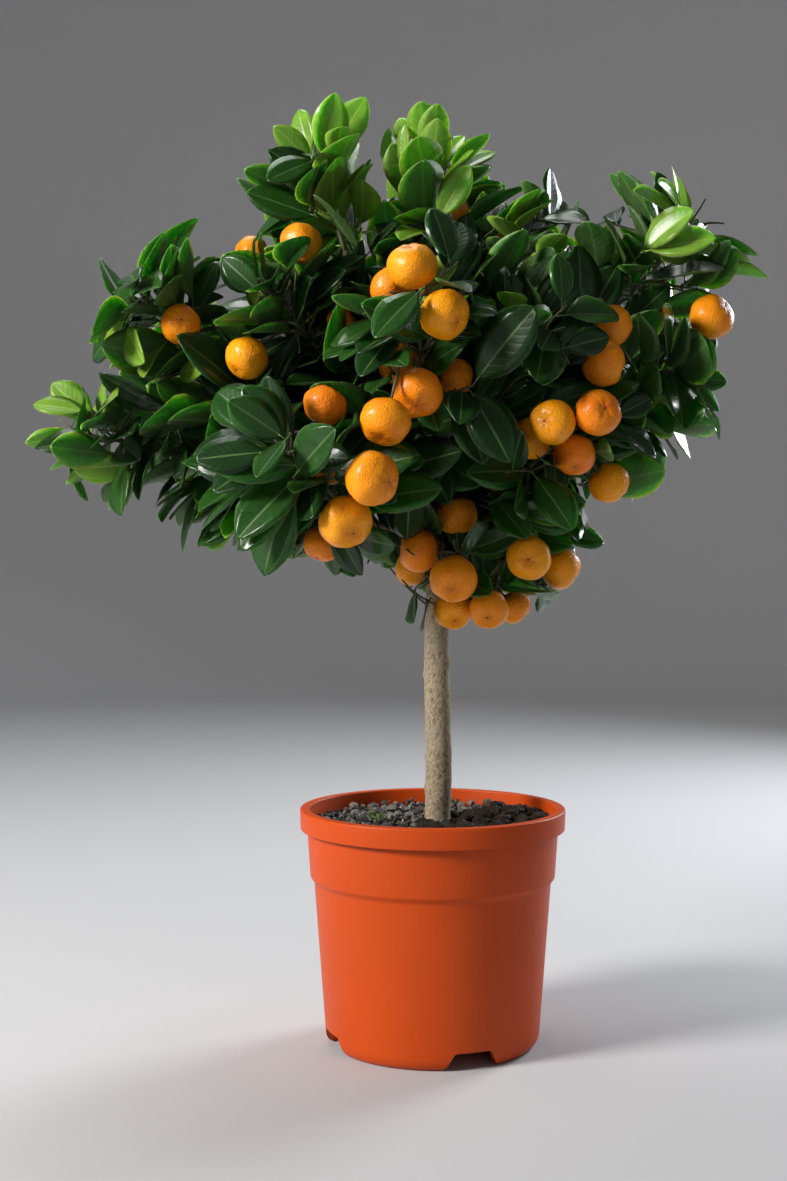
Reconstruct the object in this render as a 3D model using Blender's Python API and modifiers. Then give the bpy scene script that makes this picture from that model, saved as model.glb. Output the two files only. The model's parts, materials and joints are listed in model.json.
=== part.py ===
"""A calamondin orange tree on a clear stem, in a round plastic nursery pot, as separate closed solids.

Metres, +Z up. The origin is the centre of the pot's underside, -Y is the front and +X is the right.
The pot, the soil, its top dressing, the trunk and every bough are one solid each. Every mass of foliage
is one solid too: twigs that branch by a seeded rule from one stem, with leaves and fruit fused on.
"""

import math
import random
from typing import NamedTuple

import bmesh
import bpy
import numpy as np
from mathutils import Matrix, Vector
from mathutils.bvhtree import BVHTree

GAP = 0.0003  # between solids that rest on each other
UP = Vector((0, 0, 1))
GOLDEN_ANGLE = math.radians(137.5)

# The pot, as radii and heights above the ground
POT_HEIGHT = 0.168
RIM_RADIUS = 0.095
RIM_DROP = 0.0145
RIM_INNER_RADIUS = 0.088
RIM_BEVEL = 0.0013
DRAFT = 0.0004
LIP_WALL = 0.0016
WALL = 0.0018
NECK_RADIUS = 0.090
STEP_RADIUS = 0.0876
STEP_Z = 0.1195
BODY_TOP_RADIUS = 0.0848
BODY_TOP_Z = 0.1160
BODY_FOOT_RADIUS = 0.0769
FOOT_BEND_Z = 0.010
FOOT_BEND_STEPS = 3
FOOT_RADIUS = 0.0702
FOOT_INNER_RADIUS = 0.0668
FLOOR_Z = 0.0140
PAD_RADIUS = 0.0200
PAD_SLOPE = 0.0080
PAD_WALL = 0.0010
POT_STEPS = 32

# The drainage notches in the foot
NOTCHES = 4
FIRST_NOTCH_ANGLE = math.radians(-70)
NOTCH_FOOT_HALF = 0.0215
NOTCH_TOP_HALF = 0.0115
NOTCH_HEIGHT = 0.0125
NOTCH_RAMP_STEPS = 4
NOTCH_DEPTH = 0.030

# The soil and what lies on it
SOIL_Z = 0.1500
SOIL_STEPS = 24
DRESSING_MEAN = 0.0085
DRESSING_LUMP = 0.0035
COARSE_LUMPS = (210, 260)  # waves across the top, in radians a metre
FINE_LUMPS = (430, -370)
FINE_SHARE = 0.6
DRESSING_CLEARANCE = 0.0008
DRESSING_RINGS = 4
HEAP_HEIGHT = 0.0050
HEAP_CENTRE = Vector((0.048, -0.004))
HEAP_RADIUS = 0.034

# The trunk
TRUNK_X = 0.0033
TRUNK_LEAN = 0.0010
TRUNK_TOP_Z = 0.4500
TRUNK_RADIUS = 0.0094
TRUNK_NECK_RADIUS = 0.0088
TRUNK_NECK_Z = 0.330
TRUNK_TOP_RADIUS = 0.0058
FLARE = 0.0014
FLARE_HEIGHT = 0.012
TRUNK_RINGS = 14
RING_POWER = 1.3  # above 1, rings stand closer together at the foot
TRUNK_BEND = 0.0009
TRUNK_WAVE = 38
BEND_START = 0.03
SIDE_BEND = 0.6

# The boughs
HEART = Vector((0.0, 0.0, 0.420))  # the middle of the crown, which leaves look away from
TIP_RADIUS = 0.0019
PIPE_EXPONENT = 0.5
FOOT_SWELL = 1.15
THICKEST_FOOT = 0.8  # of its parent's radius
BOUGH_STUB = 0.0016
BOUGH_RINGS = 4
TIP_SHARE = 0.70
LIFT = 0.20
BOUGH_RISE = 0.35  # how far a bough leans along its parent as it leaves
FIRST_HANDLE, LAST_HANDLE = 0.30, 0.35

# The twigs of a mass
STEM_SHARE = 0.98  # of its bough's tip radius
STEM_TIP_RADIUS = 0.0010
SHORTEST_STEM = 0.020
TWIG_RADIUS = 0.0012
TWIG_TIP_RADIUS = 0.0009
TRIANGLE_SIZE = 1.3  # a three-sided twig's corner radius over the radius of the round twig it stands for
TWIG_SPREAD = 0.018  # of a mass's mean radius, for each of its side twigs
FIRST_TWIG, LAST_TWIG = 0.06, 0.90
TWIG_ANGLE = math.radians(58)
TWIG_ANGLE_SPREAD = 0.15
TWIG_TURNS = (0, 0.5, -0.5, 1.0, -1.0, 1.6, -1.6)
SHORTEST_TWIG, LONGEST_TWIG = 0.007, 0.045
FREE_OF_STEM = 0.004
CLEARANCE = 0.0006

# The leaves
LEAF_LENGTH = (0.052, 0.072)
LEAF_WIDTH_SHARE = 0.56
LEAF_RISE_SHARE = 0.040
SHOULDER, SHOULDER_WIDTH = 0.30, 0.86  # where the blade comes near its full width, and how near
WAIST, WAIST_WIDTH = 0.68, 0.82
FREE_FROM = 0.09
LEAF_ROOM = 0.041
LEAF_ANGLE = math.radians(42)
LEAF_SPLAY = math.radians(7)
STEEPEST_LEAF = math.radians(95)
LEAF_STEP, STEP_POWER = 0.0042, 1.3
ROOT_SINK = 0.0025
FACE_UP, FACE_OUT = 0.5, 0.9
LEAF_TURNS = (0, 0.6, -0.6, 1.2, -1.2, 1.9, -1.9, 2.6)
LEAF_LEANS = (1, 0.75, 1.3)
LEAF_SIZES = (1, 0.85, 0.72)
STEM_LEAVES = 8
TWIG_LEAVES = 4
STALK_LEAVES = 2
STALK_BARE = 0.010

# The fruit
FRUIT_SEGMENTS = 7
FRUIT_RINGS = 4
FRUIT_FLATTENING = 0.92
STALK_SINK = 0.0030
STALK_FEET = 9

COLOURS = {
    "pot_plastic": ((0.80, 0.10, 0.018), 0.38),
    "soil": ((0.030, 0.021, 0.015), 0.95),
    "top_dressing": ((0.10, 0.085, 0.072), 0.92),
    "bark": ((0.33, 0.27, 0.19), 0.85),
    "foliage": ((0.020, 0.085, 0.022), 0.35),
}


class Mass(NamedTuple):
    """A mass of foliage: the ellipsoid that it fills, the limb that its bough leaves, and its fruit."""

    name: str
    centre: tuple
    radii: tuple
    limb: str
    at: float
    seed: int
    fruit: tuple = ()  # (x, y, z, diameter) of each one that hangs in this mass


MASSES = (
    Mass("left_upper", (-0.190, -0.016, 0.513), (0.060, 0.066, 0.066), "trunk", 0.75, 231,
         ((-0.174, -0.045, 0.507, 0.0275),)),
    Mass("right_top", (0.166, 0.000, 0.563), (0.068, 0.066, 0.062), "trunk", 0.80, 17,
         ((0.112, 0.030, 0.544, 0.024),)),
    Mass("top_left", (-0.077, 0.000, 0.608), (0.058, 0.058, 0.066), "trunk", 0.88, 22),
    Mass("top_centre", (-0.002, 0.000, 0.612), (0.050, 0.058, 0.058), "trunk", 1.00, 61,
         ((0.013, 0.020, 0.596, 0.028),)),
    Mass("front_left", (-0.086, -0.118, 0.405), (0.076, 0.068, 0.062), "trunk", 0.69, 245,
         ((-0.041, -0.170, 0.396, 0.034), (-0.058, -0.145, 0.370, 0.034), (-0.072, -0.120, 0.445, 0.028),
          (-0.071, -0.090, 0.407, 0.025), (-0.075, -0.100, 0.356, 0.025))),
    Mass("front_right", (0.061, -0.078, 0.485), (0.062, 0.066, 0.064), "trunk", 0.76, 34,
         ((0.062, -0.020, 0.513, 0.025), (0.112, -0.080, 0.476, 0.031))),
    Mass("back_centre", (-0.003, 0.130, 0.493), (0.088, 0.082, 0.082), "trunk", 0.73, 198,
         ((-0.030, 0.185, 0.455, 0.031), (0.030, 0.195, 0.500, 0.030))),
    Mass("front_centre", (-0.012, -0.110, 0.499), (0.060, 0.066, 0.070), "trunk", 0.85, 94,
         ((-0.016, -0.130, 0.532, 0.032), (0.004, -0.140, 0.500, 0.032), (-0.029, -0.090, 0.524, 0.029),
          (-0.025, -0.080, 0.476, 0.029), (-0.013, -0.130, 0.452, 0.033), (-0.033, -0.155, 0.432, 0.032),
          (0.014, -0.080, 0.467, 0.025))),
    Mass("low_front", (0.015, -0.048, 0.345), (0.044, 0.052, 0.056), "trunk", 0.52, 206,
         ((0.015, -0.050, 0.376, 0.029), (-0.011, -0.055, 0.352, 0.030), (-0.015, -0.020, 0.340, 0.026),
          (0.012, -0.080, 0.333, 0.032), (0.013, -0.045, 0.311, 0.0275))),
    Mass("low_right", (0.063, -0.032, 0.348), (0.050, 0.055, 0.054), "trunk", 0.56, 36,
         ((0.037, -0.060, 0.312, 0.027), (0.063, -0.070, 0.347, 0.030), (0.088, -0.040, 0.339, 0.029),
          (0.057, -0.020, 0.312, 0.024))),
    Mass("back_low", (0.038, 0.082, 0.389), (0.078, 0.070, 0.066), "trunk", 0.60, 109,
         ((0.060, 0.110, 0.365, 0.030), (0.010, 0.115, 0.385, 0.029))),
    Mass("left_tip", (-0.231, -0.016, 0.431), (0.060, 0.060, 0.047), "left_upper", 0.60, 179),
    Mass("left_under", (-0.152, -0.006, 0.406), (0.068, 0.066, 0.054), "left_upper", 0.18, 127),
    Mass("upper_left", (-0.098, -0.036, 0.514), (0.068, 0.068, 0.064), "top_left", 0.35, 4,
         ((-0.092, -0.030, 0.565, 0.030), (-0.127, -0.060, 0.482, 0.030), (-0.064, -0.035, 0.509, 0.022))),
    Mass("back_upper_left", (-0.088, 0.098, 0.562), (0.062, 0.068, 0.066), "top_left", 0.50, 158,
         ((-0.135, 0.070, 0.575, 0.028), (-0.110, 0.145, 0.545, 0.030))),
    Mass("back_left", (-0.165, 0.102, 0.469), (0.088, 0.076, 0.078), "left_upper", 0.50, 191,
         ((-0.195, 0.150, 0.440, 0.031),)),
    Mass("back_top", (-0.002, 0.088, 0.586), (0.066, 0.064, 0.066), "top_centre", 0.40, 124),
    Mass("top_right", (0.067, 0.000, 0.575), (0.052, 0.058, 0.060), "top_centre", 0.15, 103,
         ((0.053, 0.020, 0.572, 0.026),)),
    Mass("right_side", (0.156, 0.000, 0.482), (0.058, 0.070, 0.070), "right_top", 0.30, 135,
         ((0.119, -0.060, 0.504, 0.0285), (0.193, -0.030, 0.514, 0.032))),
    Mass("back_right", (0.120, 0.108, 0.510), (0.088, 0.078, 0.082), "right_top", 0.18, 13,
         ((0.150, 0.155, 0.480, 0.031), (0.100, 0.150, 0.540, 0.030))),
    Mass("right_low", (0.088, -0.074, 0.429), (0.058, 0.062, 0.058), "front_right", 0.30, 172,
         ((0.075, -0.110, 0.435, 0.030), (0.104, -0.110, 0.441, 0.030), (0.064, -0.080, 0.427, 0.028),
          (0.091, -0.090, 0.415, 0.028), (0.118, -0.060, 0.398, 0.0285))),
)
CENTRES = np.array([mass.centre for mass in MASSES])
RADII = np.array([mass.radii for mass in MASSES])
WEIGHTS = RADII.mean(axis=1) ** 2


class Limb(NamedTuple):
    """A tapering limb along its centreline."""

    points: list
    radii: list


class Twig(NamedTuple):
    """A straight twig and its radius at each end."""

    start: Vector
    end: Vector
    thick: float
    thin: float


class Fruit(NamedTuple):
    centre: Vector
    diameter: float


class Leaf(NamedTuple):
    """A leaf by its frame: X runs along the blade from its root, Y across it and Z off its upper face."""

    frame: Matrix
    length: float


def fruit_of(mass):
    return [Fruit(Vector(numbers[:3]), numbers[3]) for numbers in mass.fruit]


def clear_scene():
    for obj in list(bpy.data.objects):
        bpy.data.objects.remove(obj)


def new_collection(name, hidden=False):
    collection = bpy.data.collections.new(name)
    collection.hide_render = hidden
    bpy.context.scene.collection.children.link(collection)
    return collection


def make_material(name):
    colour, roughness = COLOURS[name]
    material = bpy.data.materials.new(name)
    material.use_nodes = True
    shader = material.node_tree.nodes["Principled BSDF"]
    shader.inputs["Base Color"].default_value = (*colour, 1)
    shader.inputs["Roughness"].default_value = roughness
    shader.inputs["Metallic"].default_value = 0
    return material


def add_object(name, data, collection, material=None):
    obj = bpy.data.objects.new(name, data)
    collection.objects.link(obj)
    if material:
        data.materials.append(material)
    return obj


def add_bmesh(name, bm, collection, material=None):
    mesh = bpy.data.meshes.new(name)
    bm.to_mesh(mesh)
    bm.free()
    return add_object(name, mesh, collection, material)


def evaluated_mesh(obj):
    """The object's mesh with its modifiers applied. A curve's loose caps are welded to its sides."""
    mesh = bpy.data.meshes.new_from_object(obj.evaluated_get(bpy.context.evaluated_depsgraph_get()))
    bm = bmesh.new()
    bm.from_mesh(mesh)
    bmesh.ops.remove_doubles(bm, verts=bm.verts, dist=1e-6)
    bm.to_mesh(mesh)
    bm.free()
    return mesh


def turned(name, profile, steps, collection, material):
    """A profile of (radius, height) points turned about Z with a Screw modifier."""
    mesh = bpy.data.meshes.new(name)
    mesh.from_pydata([(r, 0, z) for r, z in profile], [(i, i + 1) for i in range(len(profile) - 1)], [])
    obj = add_object(name, mesh, collection, material)
    screw = obj.modifiers.new("turn", "SCREW")
    screw.steps = screw.render_steps = steps
    screw.use_merge_vertices = True
    screw.merge_threshold = 0.0001
    screw.use_smooth_shade = True
    return obj


def inner_wall(z):
    """The pot's inner radius at a height above its floor."""
    if z >= STEP_Z:
        share = min((z - STEP_Z) / (POT_HEIGHT - RIM_DROP - STEP_Z), 1)
        return STEP_RADIUS - WALL + (RIM_INNER_RADIUS - STEP_RADIUS + WALL) * share
    share = (z - FOOT_BEND_Z) / (BODY_TOP_Z - FOOT_BEND_Z)
    return BODY_FOOT_RADIUS + (BODY_TOP_RADIUS - BODY_FOOT_RADIUS) * min(share, 1) - WALL


def foot_bend():
    """The rounded outer corner of the foot, from the wall down to the ring that it stands on."""
    quarter = [math.pi / 2 * i / FOOT_BEND_STEPS for i in range(FOOT_BEND_STEPS + 1)]
    return [
        (FOOT_RADIUS + (BODY_FOOT_RADIUS - FOOT_RADIUS) * math.cos(turn), FOOT_BEND_Z * (1 - math.sin(turn)))
        for turn in quarter
    ]


def notch_cutter(number, collection):
    """A cutter with S-shaped flanks for one drainage notch, from a flat outline across the foot."""
    ramp = [i / NOTCH_RAMP_STEPS for i in range(NOTCH_RAMP_STEPS + 1)]
    flank = [
        (
            NOTCH_FOOT_HALF + (NOTCH_TOP_HALF - NOTCH_FOOT_HALF) * t,
            NOTCH_HEIGHT * (1 - math.cos(math.pi * t)) / 2,
        )
        for t in ramp
    ]
    below = (NOTCH_FOOT_HALF, -NOTCH_HEIGHT)
    outline = [below, *flank, *[(-x, z) for x, z in reversed(flank)], (-below[0], below[1])]
    curve = bpy.data.curves.new(f"notch_{number}", "CURVE")
    curve.dimensions = "2D"
    curve.fill_mode = "BOTH"
    curve.extrude = NOTCH_DEPTH / 2
    spline = curve.splines.new("POLY")
    spline.points.add(len(outline) - 1)
    for point, (x, z) in zip(spline.points, outline):
        point.co = (x, z, 0, 1)
    spline.use_cyclic_u = True
    angle = FIRST_NOTCH_ANGLE + number * 2 * math.pi / NOTCHES
    outward = Vector((math.sin(angle), -math.cos(angle), 0))
    guide = add_object(f"notch_guide_{number}", curve, collection)
    cutter = add_object(f"notch_{number}", evaluated_mesh(guide), collection)
    bpy.data.objects.remove(guide)
    frame = Matrix((UP.cross(outward), UP, outward)).transposed()
    cutter.matrix_world = Matrix.Translation(outward * FOOT_RADIUS) @ frame.to_4x4()
    bm = bmesh.new()
    bm.from_mesh(cutter.data)
    bmesh.ops.recalc_face_normals(bm, faces=bm.faces)
    bm.to_mesh(cutter.data)
    bm.free()
    cutter.hide_render = True
    cutter.display_type = "WIRE"


def make_pot(collection, cutters, material):
    """The thin-walled pot: a dished floor on a notched foot, a stepped wall and a rim with a drip lip."""
    bend = foot_bend()
    profile = [
        (0, WALL),
        (PAD_RADIUS, WALL),
        (PAD_RADIUS + PAD_SLOPE, FLOOR_Z + WALL),
        (inner_wall(FLOOR_Z + WALL), FLOOR_Z + WALL),
        (inner_wall(BODY_TOP_Z), BODY_TOP_Z),
        (inner_wall(STEP_Z), STEP_Z),
        (RIM_INNER_RADIUS, POT_HEIGHT - RIM_DROP),
        (RIM_INNER_RADIUS, POT_HEIGHT),
        (RIM_RADIUS - RIM_BEVEL, POT_HEIGHT),
        (RIM_RADIUS, POT_HEIGHT - RIM_BEVEL),
        (RIM_RADIUS - DRAFT, POT_HEIGHT - RIM_DROP),
        (RIM_RADIUS - LIP_WALL, POT_HEIGHT - RIM_DROP),
        (RIM_RADIUS - LIP_WALL, POT_HEIGHT - WALL),
        (NECK_RADIUS, POT_HEIGHT - WALL),
        (NECK_RADIUS - DRAFT / 2, POT_HEIGHT - RIM_DROP),
        (STEP_RADIUS, STEP_Z),
        (BODY_TOP_RADIUS, BODY_TOP_Z),
        *bend,
        (FOOT_INNER_RADIUS, 0),
        (BODY_FOOT_RADIUS - WALL - DRAFT, FLOOR_Z),
        (PAD_RADIUS + PAD_SLOPE + PAD_WALL, FLOOR_Z),
        (PAD_RADIUS + PAD_WALL, 0),
        (0, 0),
    ]
    pot = turned("pot", profile, POT_STEPS, collection, material)
    for number in range(NOTCHES):
        notch_cutter(number, cutters)
    cut = pot.modifiers.new("notches", "BOOLEAN")
    cut.operation = "DIFFERENCE"
    cut.operand_type = "COLLECTION"
    cut.collection = cutters
    return pot


def make_soil(collection, material):
    """The plug of soil that fills the pot, clear of its wall and floor."""
    floor = FLOOR_Z + WALL + GAP
    profile = [
        (0, SOIL_Z),
        (inner_wall(SOIL_Z) - GAP * 2, SOIL_Z),
        (inner_wall(STEP_Z) - GAP * 2, STEP_Z),
        (inner_wall(BODY_TOP_Z) - GAP * 2, BODY_TOP_Z),
        (inner_wall(floor) - GAP * 2, floor),
        (PAD_RADIUS + PAD_SLOPE - GAP, floor),
        (PAD_RADIUS - GAP, WALL + GAP),
        (0, WALL + GAP),
    ]
    return turned("soil", profile, SOIL_STEPS, collection, material)


def dressing_height(x, y):
    """How far the gravel and the loose compost stand above the soil."""
    coarse = math.sin(COARSE_LUMPS[0] * x + 1) * math.cos(COARSE_LUMPS[1] * y)
    lumps = coarse + FINE_SHARE * math.sin(FINE_LUMPS[0] * x + FINE_LUMPS[1] * y)
    away = (Vector((x, y)) - HEAP_CENTRE).length / HEAP_RADIUS
    return DRESSING_MEAN + DRESSING_LUMP * lumps / 2 + HEAP_HEIGHT * max(1 - away * away, 0)


def make_dressing(collection, material):
    """The lumpy layer of gravel and compost round the trunk's foot, as a turned ring with its top raised."""
    inner = TRUNK_RADIUS + FLARE + TRUNK_X + DRESSING_CLEARANCE
    outer = inner_wall(SOIL_Z) - GAP * 2
    radii = [outer - (outer - inner) * i / (DRESSING_RINGS - 1) for i in range(DRESSING_RINGS)]
    top, foot = SOIL_Z + DRESSING_MEAN, SOIL_Z + GAP
    profile = [(inner, foot), *[(r, top) for r in reversed(radii)], (outer, foot), (inner, foot)]
    ring = turned("dressing_guide", profile, SOIL_STEPS, collection, material)
    mesh = evaluated_mesh(ring)
    bpy.data.objects.remove(ring)
    for vertex in mesh.vertices:
        if vertex.co.z > foot + GAP:
            vertex.co.z = SOIL_Z + dressing_height(vertex.co.x, vertex.co.y)
    return add_object("top_dressing", mesh, collection, material)


def trunk_limb():
    """The trunk from the flat cut on the soil to its heading cut, with its flare, taper and slight bends."""
    points, radii = [], []
    foot = SOIL_Z + GAP
    for ring in range(TRUNK_RINGS):
        share = ring / (TRUNK_RINGS - 1)
        rise = share ** RING_POWER * (TRUNK_TOP_Z - foot)
        z = foot + rise
        bend = TRUNK_BEND * math.sin(TRUNK_WAVE * rise) * min(rise / BEND_START, 1)
        points.append(Vector((TRUNK_X + TRUNK_LEAN * share + bend, SIDE_BEND * bend, z)))
        if z < TRUNK_NECK_Z:
            radius = TRUNK_RADIUS + (TRUNK_NECK_RADIUS - TRUNK_RADIUS) * rise / (TRUNK_NECK_Z - foot)
        else:
            above = (z - TRUNK_NECK_Z) / (TRUNK_TOP_Z - TRUNK_NECK_Z)
            radius = TRUNK_NECK_RADIUS + (TRUNK_TOP_RADIUS - TRUNK_NECK_RADIUS) * above
        radii.append(radius + FLARE * max(1 - rise / FLARE_HEIGHT, 0) ** 2)
    return Limb(points, radii)


def place_on(limb, share):
    """(point, direction, radius) at a share of a limb's length."""
    lengths = [0.0]
    for a, b in zip(limb.points, limb.points[1:]):
        lengths.append(lengths[-1] + (b - a).length)
    along = share * lengths[-1]
    for i in range(len(limb.points) - 1):
        if along <= lengths[i + 1] or i == len(limb.points) - 2:
            part = (along - lengths[i]) / (lengths[i + 1] - lengths[i])
            point = limb.points[i].lerp(limb.points[i + 1], part)
            direction = (limb.points[i + 1] - limb.points[i]).normalized()
            return point, direction, limb.radii[i] + (limb.radii[i + 1] - limb.radii[i]) * part


def tips_fed(name):
    """How many masses a bough carries, with those of the boughs that leave it."""
    return 1 + sum(tips_fed(mass.name) for mass in MASSES if mass.limb == name)


def room_along(direction, radii):
    """From an ellipsoid's centre to its surface in a direction."""
    return 1 / Vector([d / r for d, r in zip(direction, radii)]).length


def heading_of(mass, start):
    """The way that a mass grows: from its bough's foot through its centre, lifted a little."""
    return ((Vector(mass.centre) - start).normalized() + UP * LIFT).normalized()


def bough_limb(mass, parent):
    """One bough: out of its parent square to the bark, then in one sweep into its mass."""
    root, along, parent_radius = place_on(parent, mass.at)
    centre = Vector(mass.centre)
    heading = heading_of(mass, root)
    tip = centre - heading * TIP_SHARE * room_along(heading, mass.radii)
    if mass.at < 1:
        side = tip - root
        side = (side - along * side.dot(along)).normalized()
        foot = root + side * (parent_radius + GAP)
    else:
        side = along
        foot = root + side * GAP
    start, end = foot + side * BOUGH_STUB, tip - heading * BOUGH_STUB
    span = (end - start).length
    first = start + (side + along * BOUGH_RISE) * span * FIRST_HANDLE
    second = end - heading * span * LAST_HANDLE
    points = [foot]
    for i in range(BOUGH_RINGS):
        t = i / (BOUGH_RINGS - 1)
        points.append(
            start * (1 - t) ** 3 + first * 3 * t * (1 - t) ** 2 + second * 3 * t * t * (1 - t) + end * t ** 3
        )
    points.append(tip)
    fed = tips_fed(mass.name) ** PIPE_EXPONENT
    foot_radius = min(TIP_RADIUS * FOOT_SWELL * fed, parent_radius * THICKEST_FOOT)
    count = len(points) - 1
    radii = [foot_radius + (TIP_RADIUS - foot_radius) * i / count for i in range(count + 1)]
    return Limb(points, radii)


def grow_limbs():
    """The trunk and each bough by name. A bough may leave another, which stands before it in MASSES."""
    limbs = {"trunk": trunk_limb()}
    for mass in MASSES:
        limbs[mass.name] = bough_limb(mass, limbs[mass.limb])
    return limbs


def limb_object(name, limb, resolution, collection, material):
    """A tapering limb as a bevelled poly curve with filled caps."""
    curve = bpy.data.curves.new(name, "CURVE")
    curve.dimensions = "3D"
    curve.bevel_depth = limb.radii[0]
    curve.bevel_resolution = resolution
    curve.use_fill_caps = True
    spline = curve.splines.new("POLY")
    spline.points.add(len(limb.points) - 1)
    for point, centre, radius in zip(spline.points, limb.points, limb.radii):
        point.co = (*centre, 1)
        point.radius = radius / limb.radii[0]
    spline.use_smooth = True
    return add_object(name, curve, collection, material)


class Solids:
    """The faces that a new twig or leaf must miss, gathered in one tree."""

    def __init__(self, vertices=(), faces=()):
        self.vertices = list(vertices)
        self.faces = list(faces)
        self.tree = BVHTree.FromPolygons(self.vertices, self.faces) if self.faces else None

    def add(self, *shapes):
        for vertices, faces in shapes:
            first = len(self.vertices)
            self.vertices += vertices
            self.faces += [tuple(first + i for i in face) for face in faces]
        self.tree = BVHTree.FromPolygons(self.vertices, self.faces)

    def hit_by(self, shape):
        return bool(self.tree and self.tree.overlap(BVHTree.FromPolygons(*shape)))


class Space:
    """A mass's own space: its ellipsoid, cut flat where a neighbour's begins."""

    def __init__(self, index):
        self.centre = CENTRES[index]
        self.radii = RADII[index]
        to_others = CENTRES - self.centre
        distances = np.linalg.norm(to_others, axis=1)
        distances[index] = 1
        self.normals = to_others / distances[:, None]
        self.offsets = (distances ** 2 + WEIGHTS[index] - WEIGHTS) / (2 * distances)

    def holds(self, points, margin):
        """Whether all the points lie in this space, at least margin from its sides."""
        offset = np.array(points) - self.centre
        if ((offset / (self.radii - margin)) ** 2).sum(axis=1).max() > 1:
            return False
        return bool((offset @ self.normals.T < self.offsets - margin).all())

    def reach(self, point, direction):
        """How far a ray from a point in this space runs before it leaves it."""
        offset = np.array(point) - self.centre
        p, d = offset / self.radii, np.array(direction) / self.radii
        a, b, c = d @ d, p @ d, p @ p - 1
        if c > 0:
            return 0.0
        ahead = (-b + math.sqrt(b * b - a * c)) / a
        speed = self.normals @ np.array(direction)
        room = self.offsets - self.normals @ offset
        return max(min([ahead, *[r / v for r, v in zip(room, speed) if v > 1e-6]]), 0.0)


def tube_shape(points, radii, sides=6):
    """A tube's corners and side faces, for a test against other shapes."""
    ring = [Vector((math.cos(a), math.sin(a), 0)) for a in np.linspace(0, 2 * math.pi, sides + 1)[:-1]]
    corners = []
    for before, point, after, radius in zip(points[:1] + points, points, points[1:] + points[-1:], radii):
        turn = (after - before).to_track_quat("Z", "Y")
        corners += [point + turn @ way * radius for way in ring]
    faces = [
        (k * sides + i, k * sides + (i + 1) % sides, (k + 1) * sides + (i + 1) % sides, (k + 1) * sides + i)
        for k in range(len(points) - 1)
        for i in range(sides)
    ]
    return corners, faces


def twig_shape(twig, bare):
    """A twig with the clearance that leaves keep from it, from a little way off its foot."""
    way = (twig.end - twig.start).normalized()
    return tube_shape([twig.start + way * bare, twig.end], [twig.thick + CLEARANCE, twig.thin + CLEARANCE])


def fruit_shape(fruit):
    """A ball round a fruit, with the clearance that everything else keeps from it."""
    bm = bmesh.new()
    bmesh.ops.create_icosphere(bm, subdivisions=2, radius=fruit.diameter / 2 + CLEARANCE)
    corners = [fruit.centre + vertex.co for vertex in bm.verts]
    faces = [tuple(vertex.index for vertex in face.verts) for face in bm.faces]
    bm.free()
    return corners, faces


def leaf_corners(length, start=0.0):
    """A leaf's root, shoulders, waist and tip, with its edges raised. Start moves its root along it."""
    half, rise = length * LEAF_WIDTH_SHARE / 2, length * LEAF_RISE_SHARE
    return [
        Vector((start * length, 0, start * rise)),
        Vector((SHOULDER * length, SHOULDER_WIDTH * half, rise)),
        Vector((SHOULDER * length, -SHOULDER_WIDTH * half, rise)),
        Vector((WAIST * length, WAIST_WIDTH * half, rise)),
        Vector((WAIST * length, -WAIST_WIDTH * half, rise)),
        Vector((length, 0, 0)),
    ]


def leaf_shape(leaf):
    """The free part of a leaf's blade, for a test against other shapes."""
    corners = [leaf.frame @ corner for corner in leaf_corners(leaf.length, FREE_FROM)]
    return corners, [(0, 1, 2), (1, 3, 4, 2), (3, 5, 4), (0, 5, 3, 1), (0, 2, 4, 5)]


def leaf_frame(root, along, azimuth, angle):
    """A leaf's frame on a twig: it leans off the twig, and its upper face looks along it, up and outward."""
    side = Matrix.Rotation(azimuth, 3, along) @ along.orthogonal().normalized()
    blade = (along * math.cos(angle) + side * math.sin(angle)).normalized()
    face = along + UP * FACE_UP + (root - HEART).normalized() * FACE_OUT
    face = (face - blade * face.dot(blade)).normalized()
    frame = Matrix((blade, face.cross(blade), face)).transposed().to_4x4()
    frame.translation = root
    return frame


def find_leaf(space, solids, root, along, azimuth, angle, length):
    """The first leaf that has room at a node, turned round the twig and leant until one has."""
    for turn in LEAF_TURNS:
        for lean in LEAF_LEANS:
            for size in LEAF_SIZES:
                leaf = Leaf(leaf_frame(root, along, azimuth + turn, angle * lean), length * size)
                shape = leaf_shape(leaf)
                if space.holds(shape[0], GAP) and not any(s.hit_by(shape) for s in solids):
                    return leaf
    return None


def stem_of(index, limbs):
    """A mass's stem: from its bough's tip through its middle, until a leaf's length short of its far side."""
    bough = limbs[MASSES[index].name]
    heading = (bough.points[-1] - bough.points[-2]).normalized()
    foot = bough.points[-1] + heading * GAP
    length = max(Space(index).reach(foot, heading) - LEAF_ROOM, SHORTEST_STEM)
    return Twig(foot, foot + heading * length, TIP_RADIUS * STEM_SHARE, STEM_TIP_RADIUS)


def stalk_of(stem, fruit, solids):
    """The shortest clear twig from a stem to a fruit, with its end sunk in the fruit."""
    feet = [stem.start.lerp(stem.end, i / STALK_FEET) for i in range(1, STALK_FEET)]
    for foot in sorted(feet, key=lambda p: (p - fruit.centre).length):
        way = (fruit.centre - foot).normalized()
        clear = [foot + way * FREE_OF_STEM, fruit.centre - way * (fruit.diameter / 2 + STALK_SINK)]
        if not solids.hit_by(tube_shape(clear, [TWIG_RADIUS, TWIG_TIP_RADIUS])):
            break
    else:
        print("no clear way to the fruit at", fruit.centre)
    end = fruit.centre - way * (fruit.diameter / 2 - STALK_SINK)
    return Twig(foot, end, TWIG_RADIUS, TWIG_TIP_RADIUS)


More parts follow.
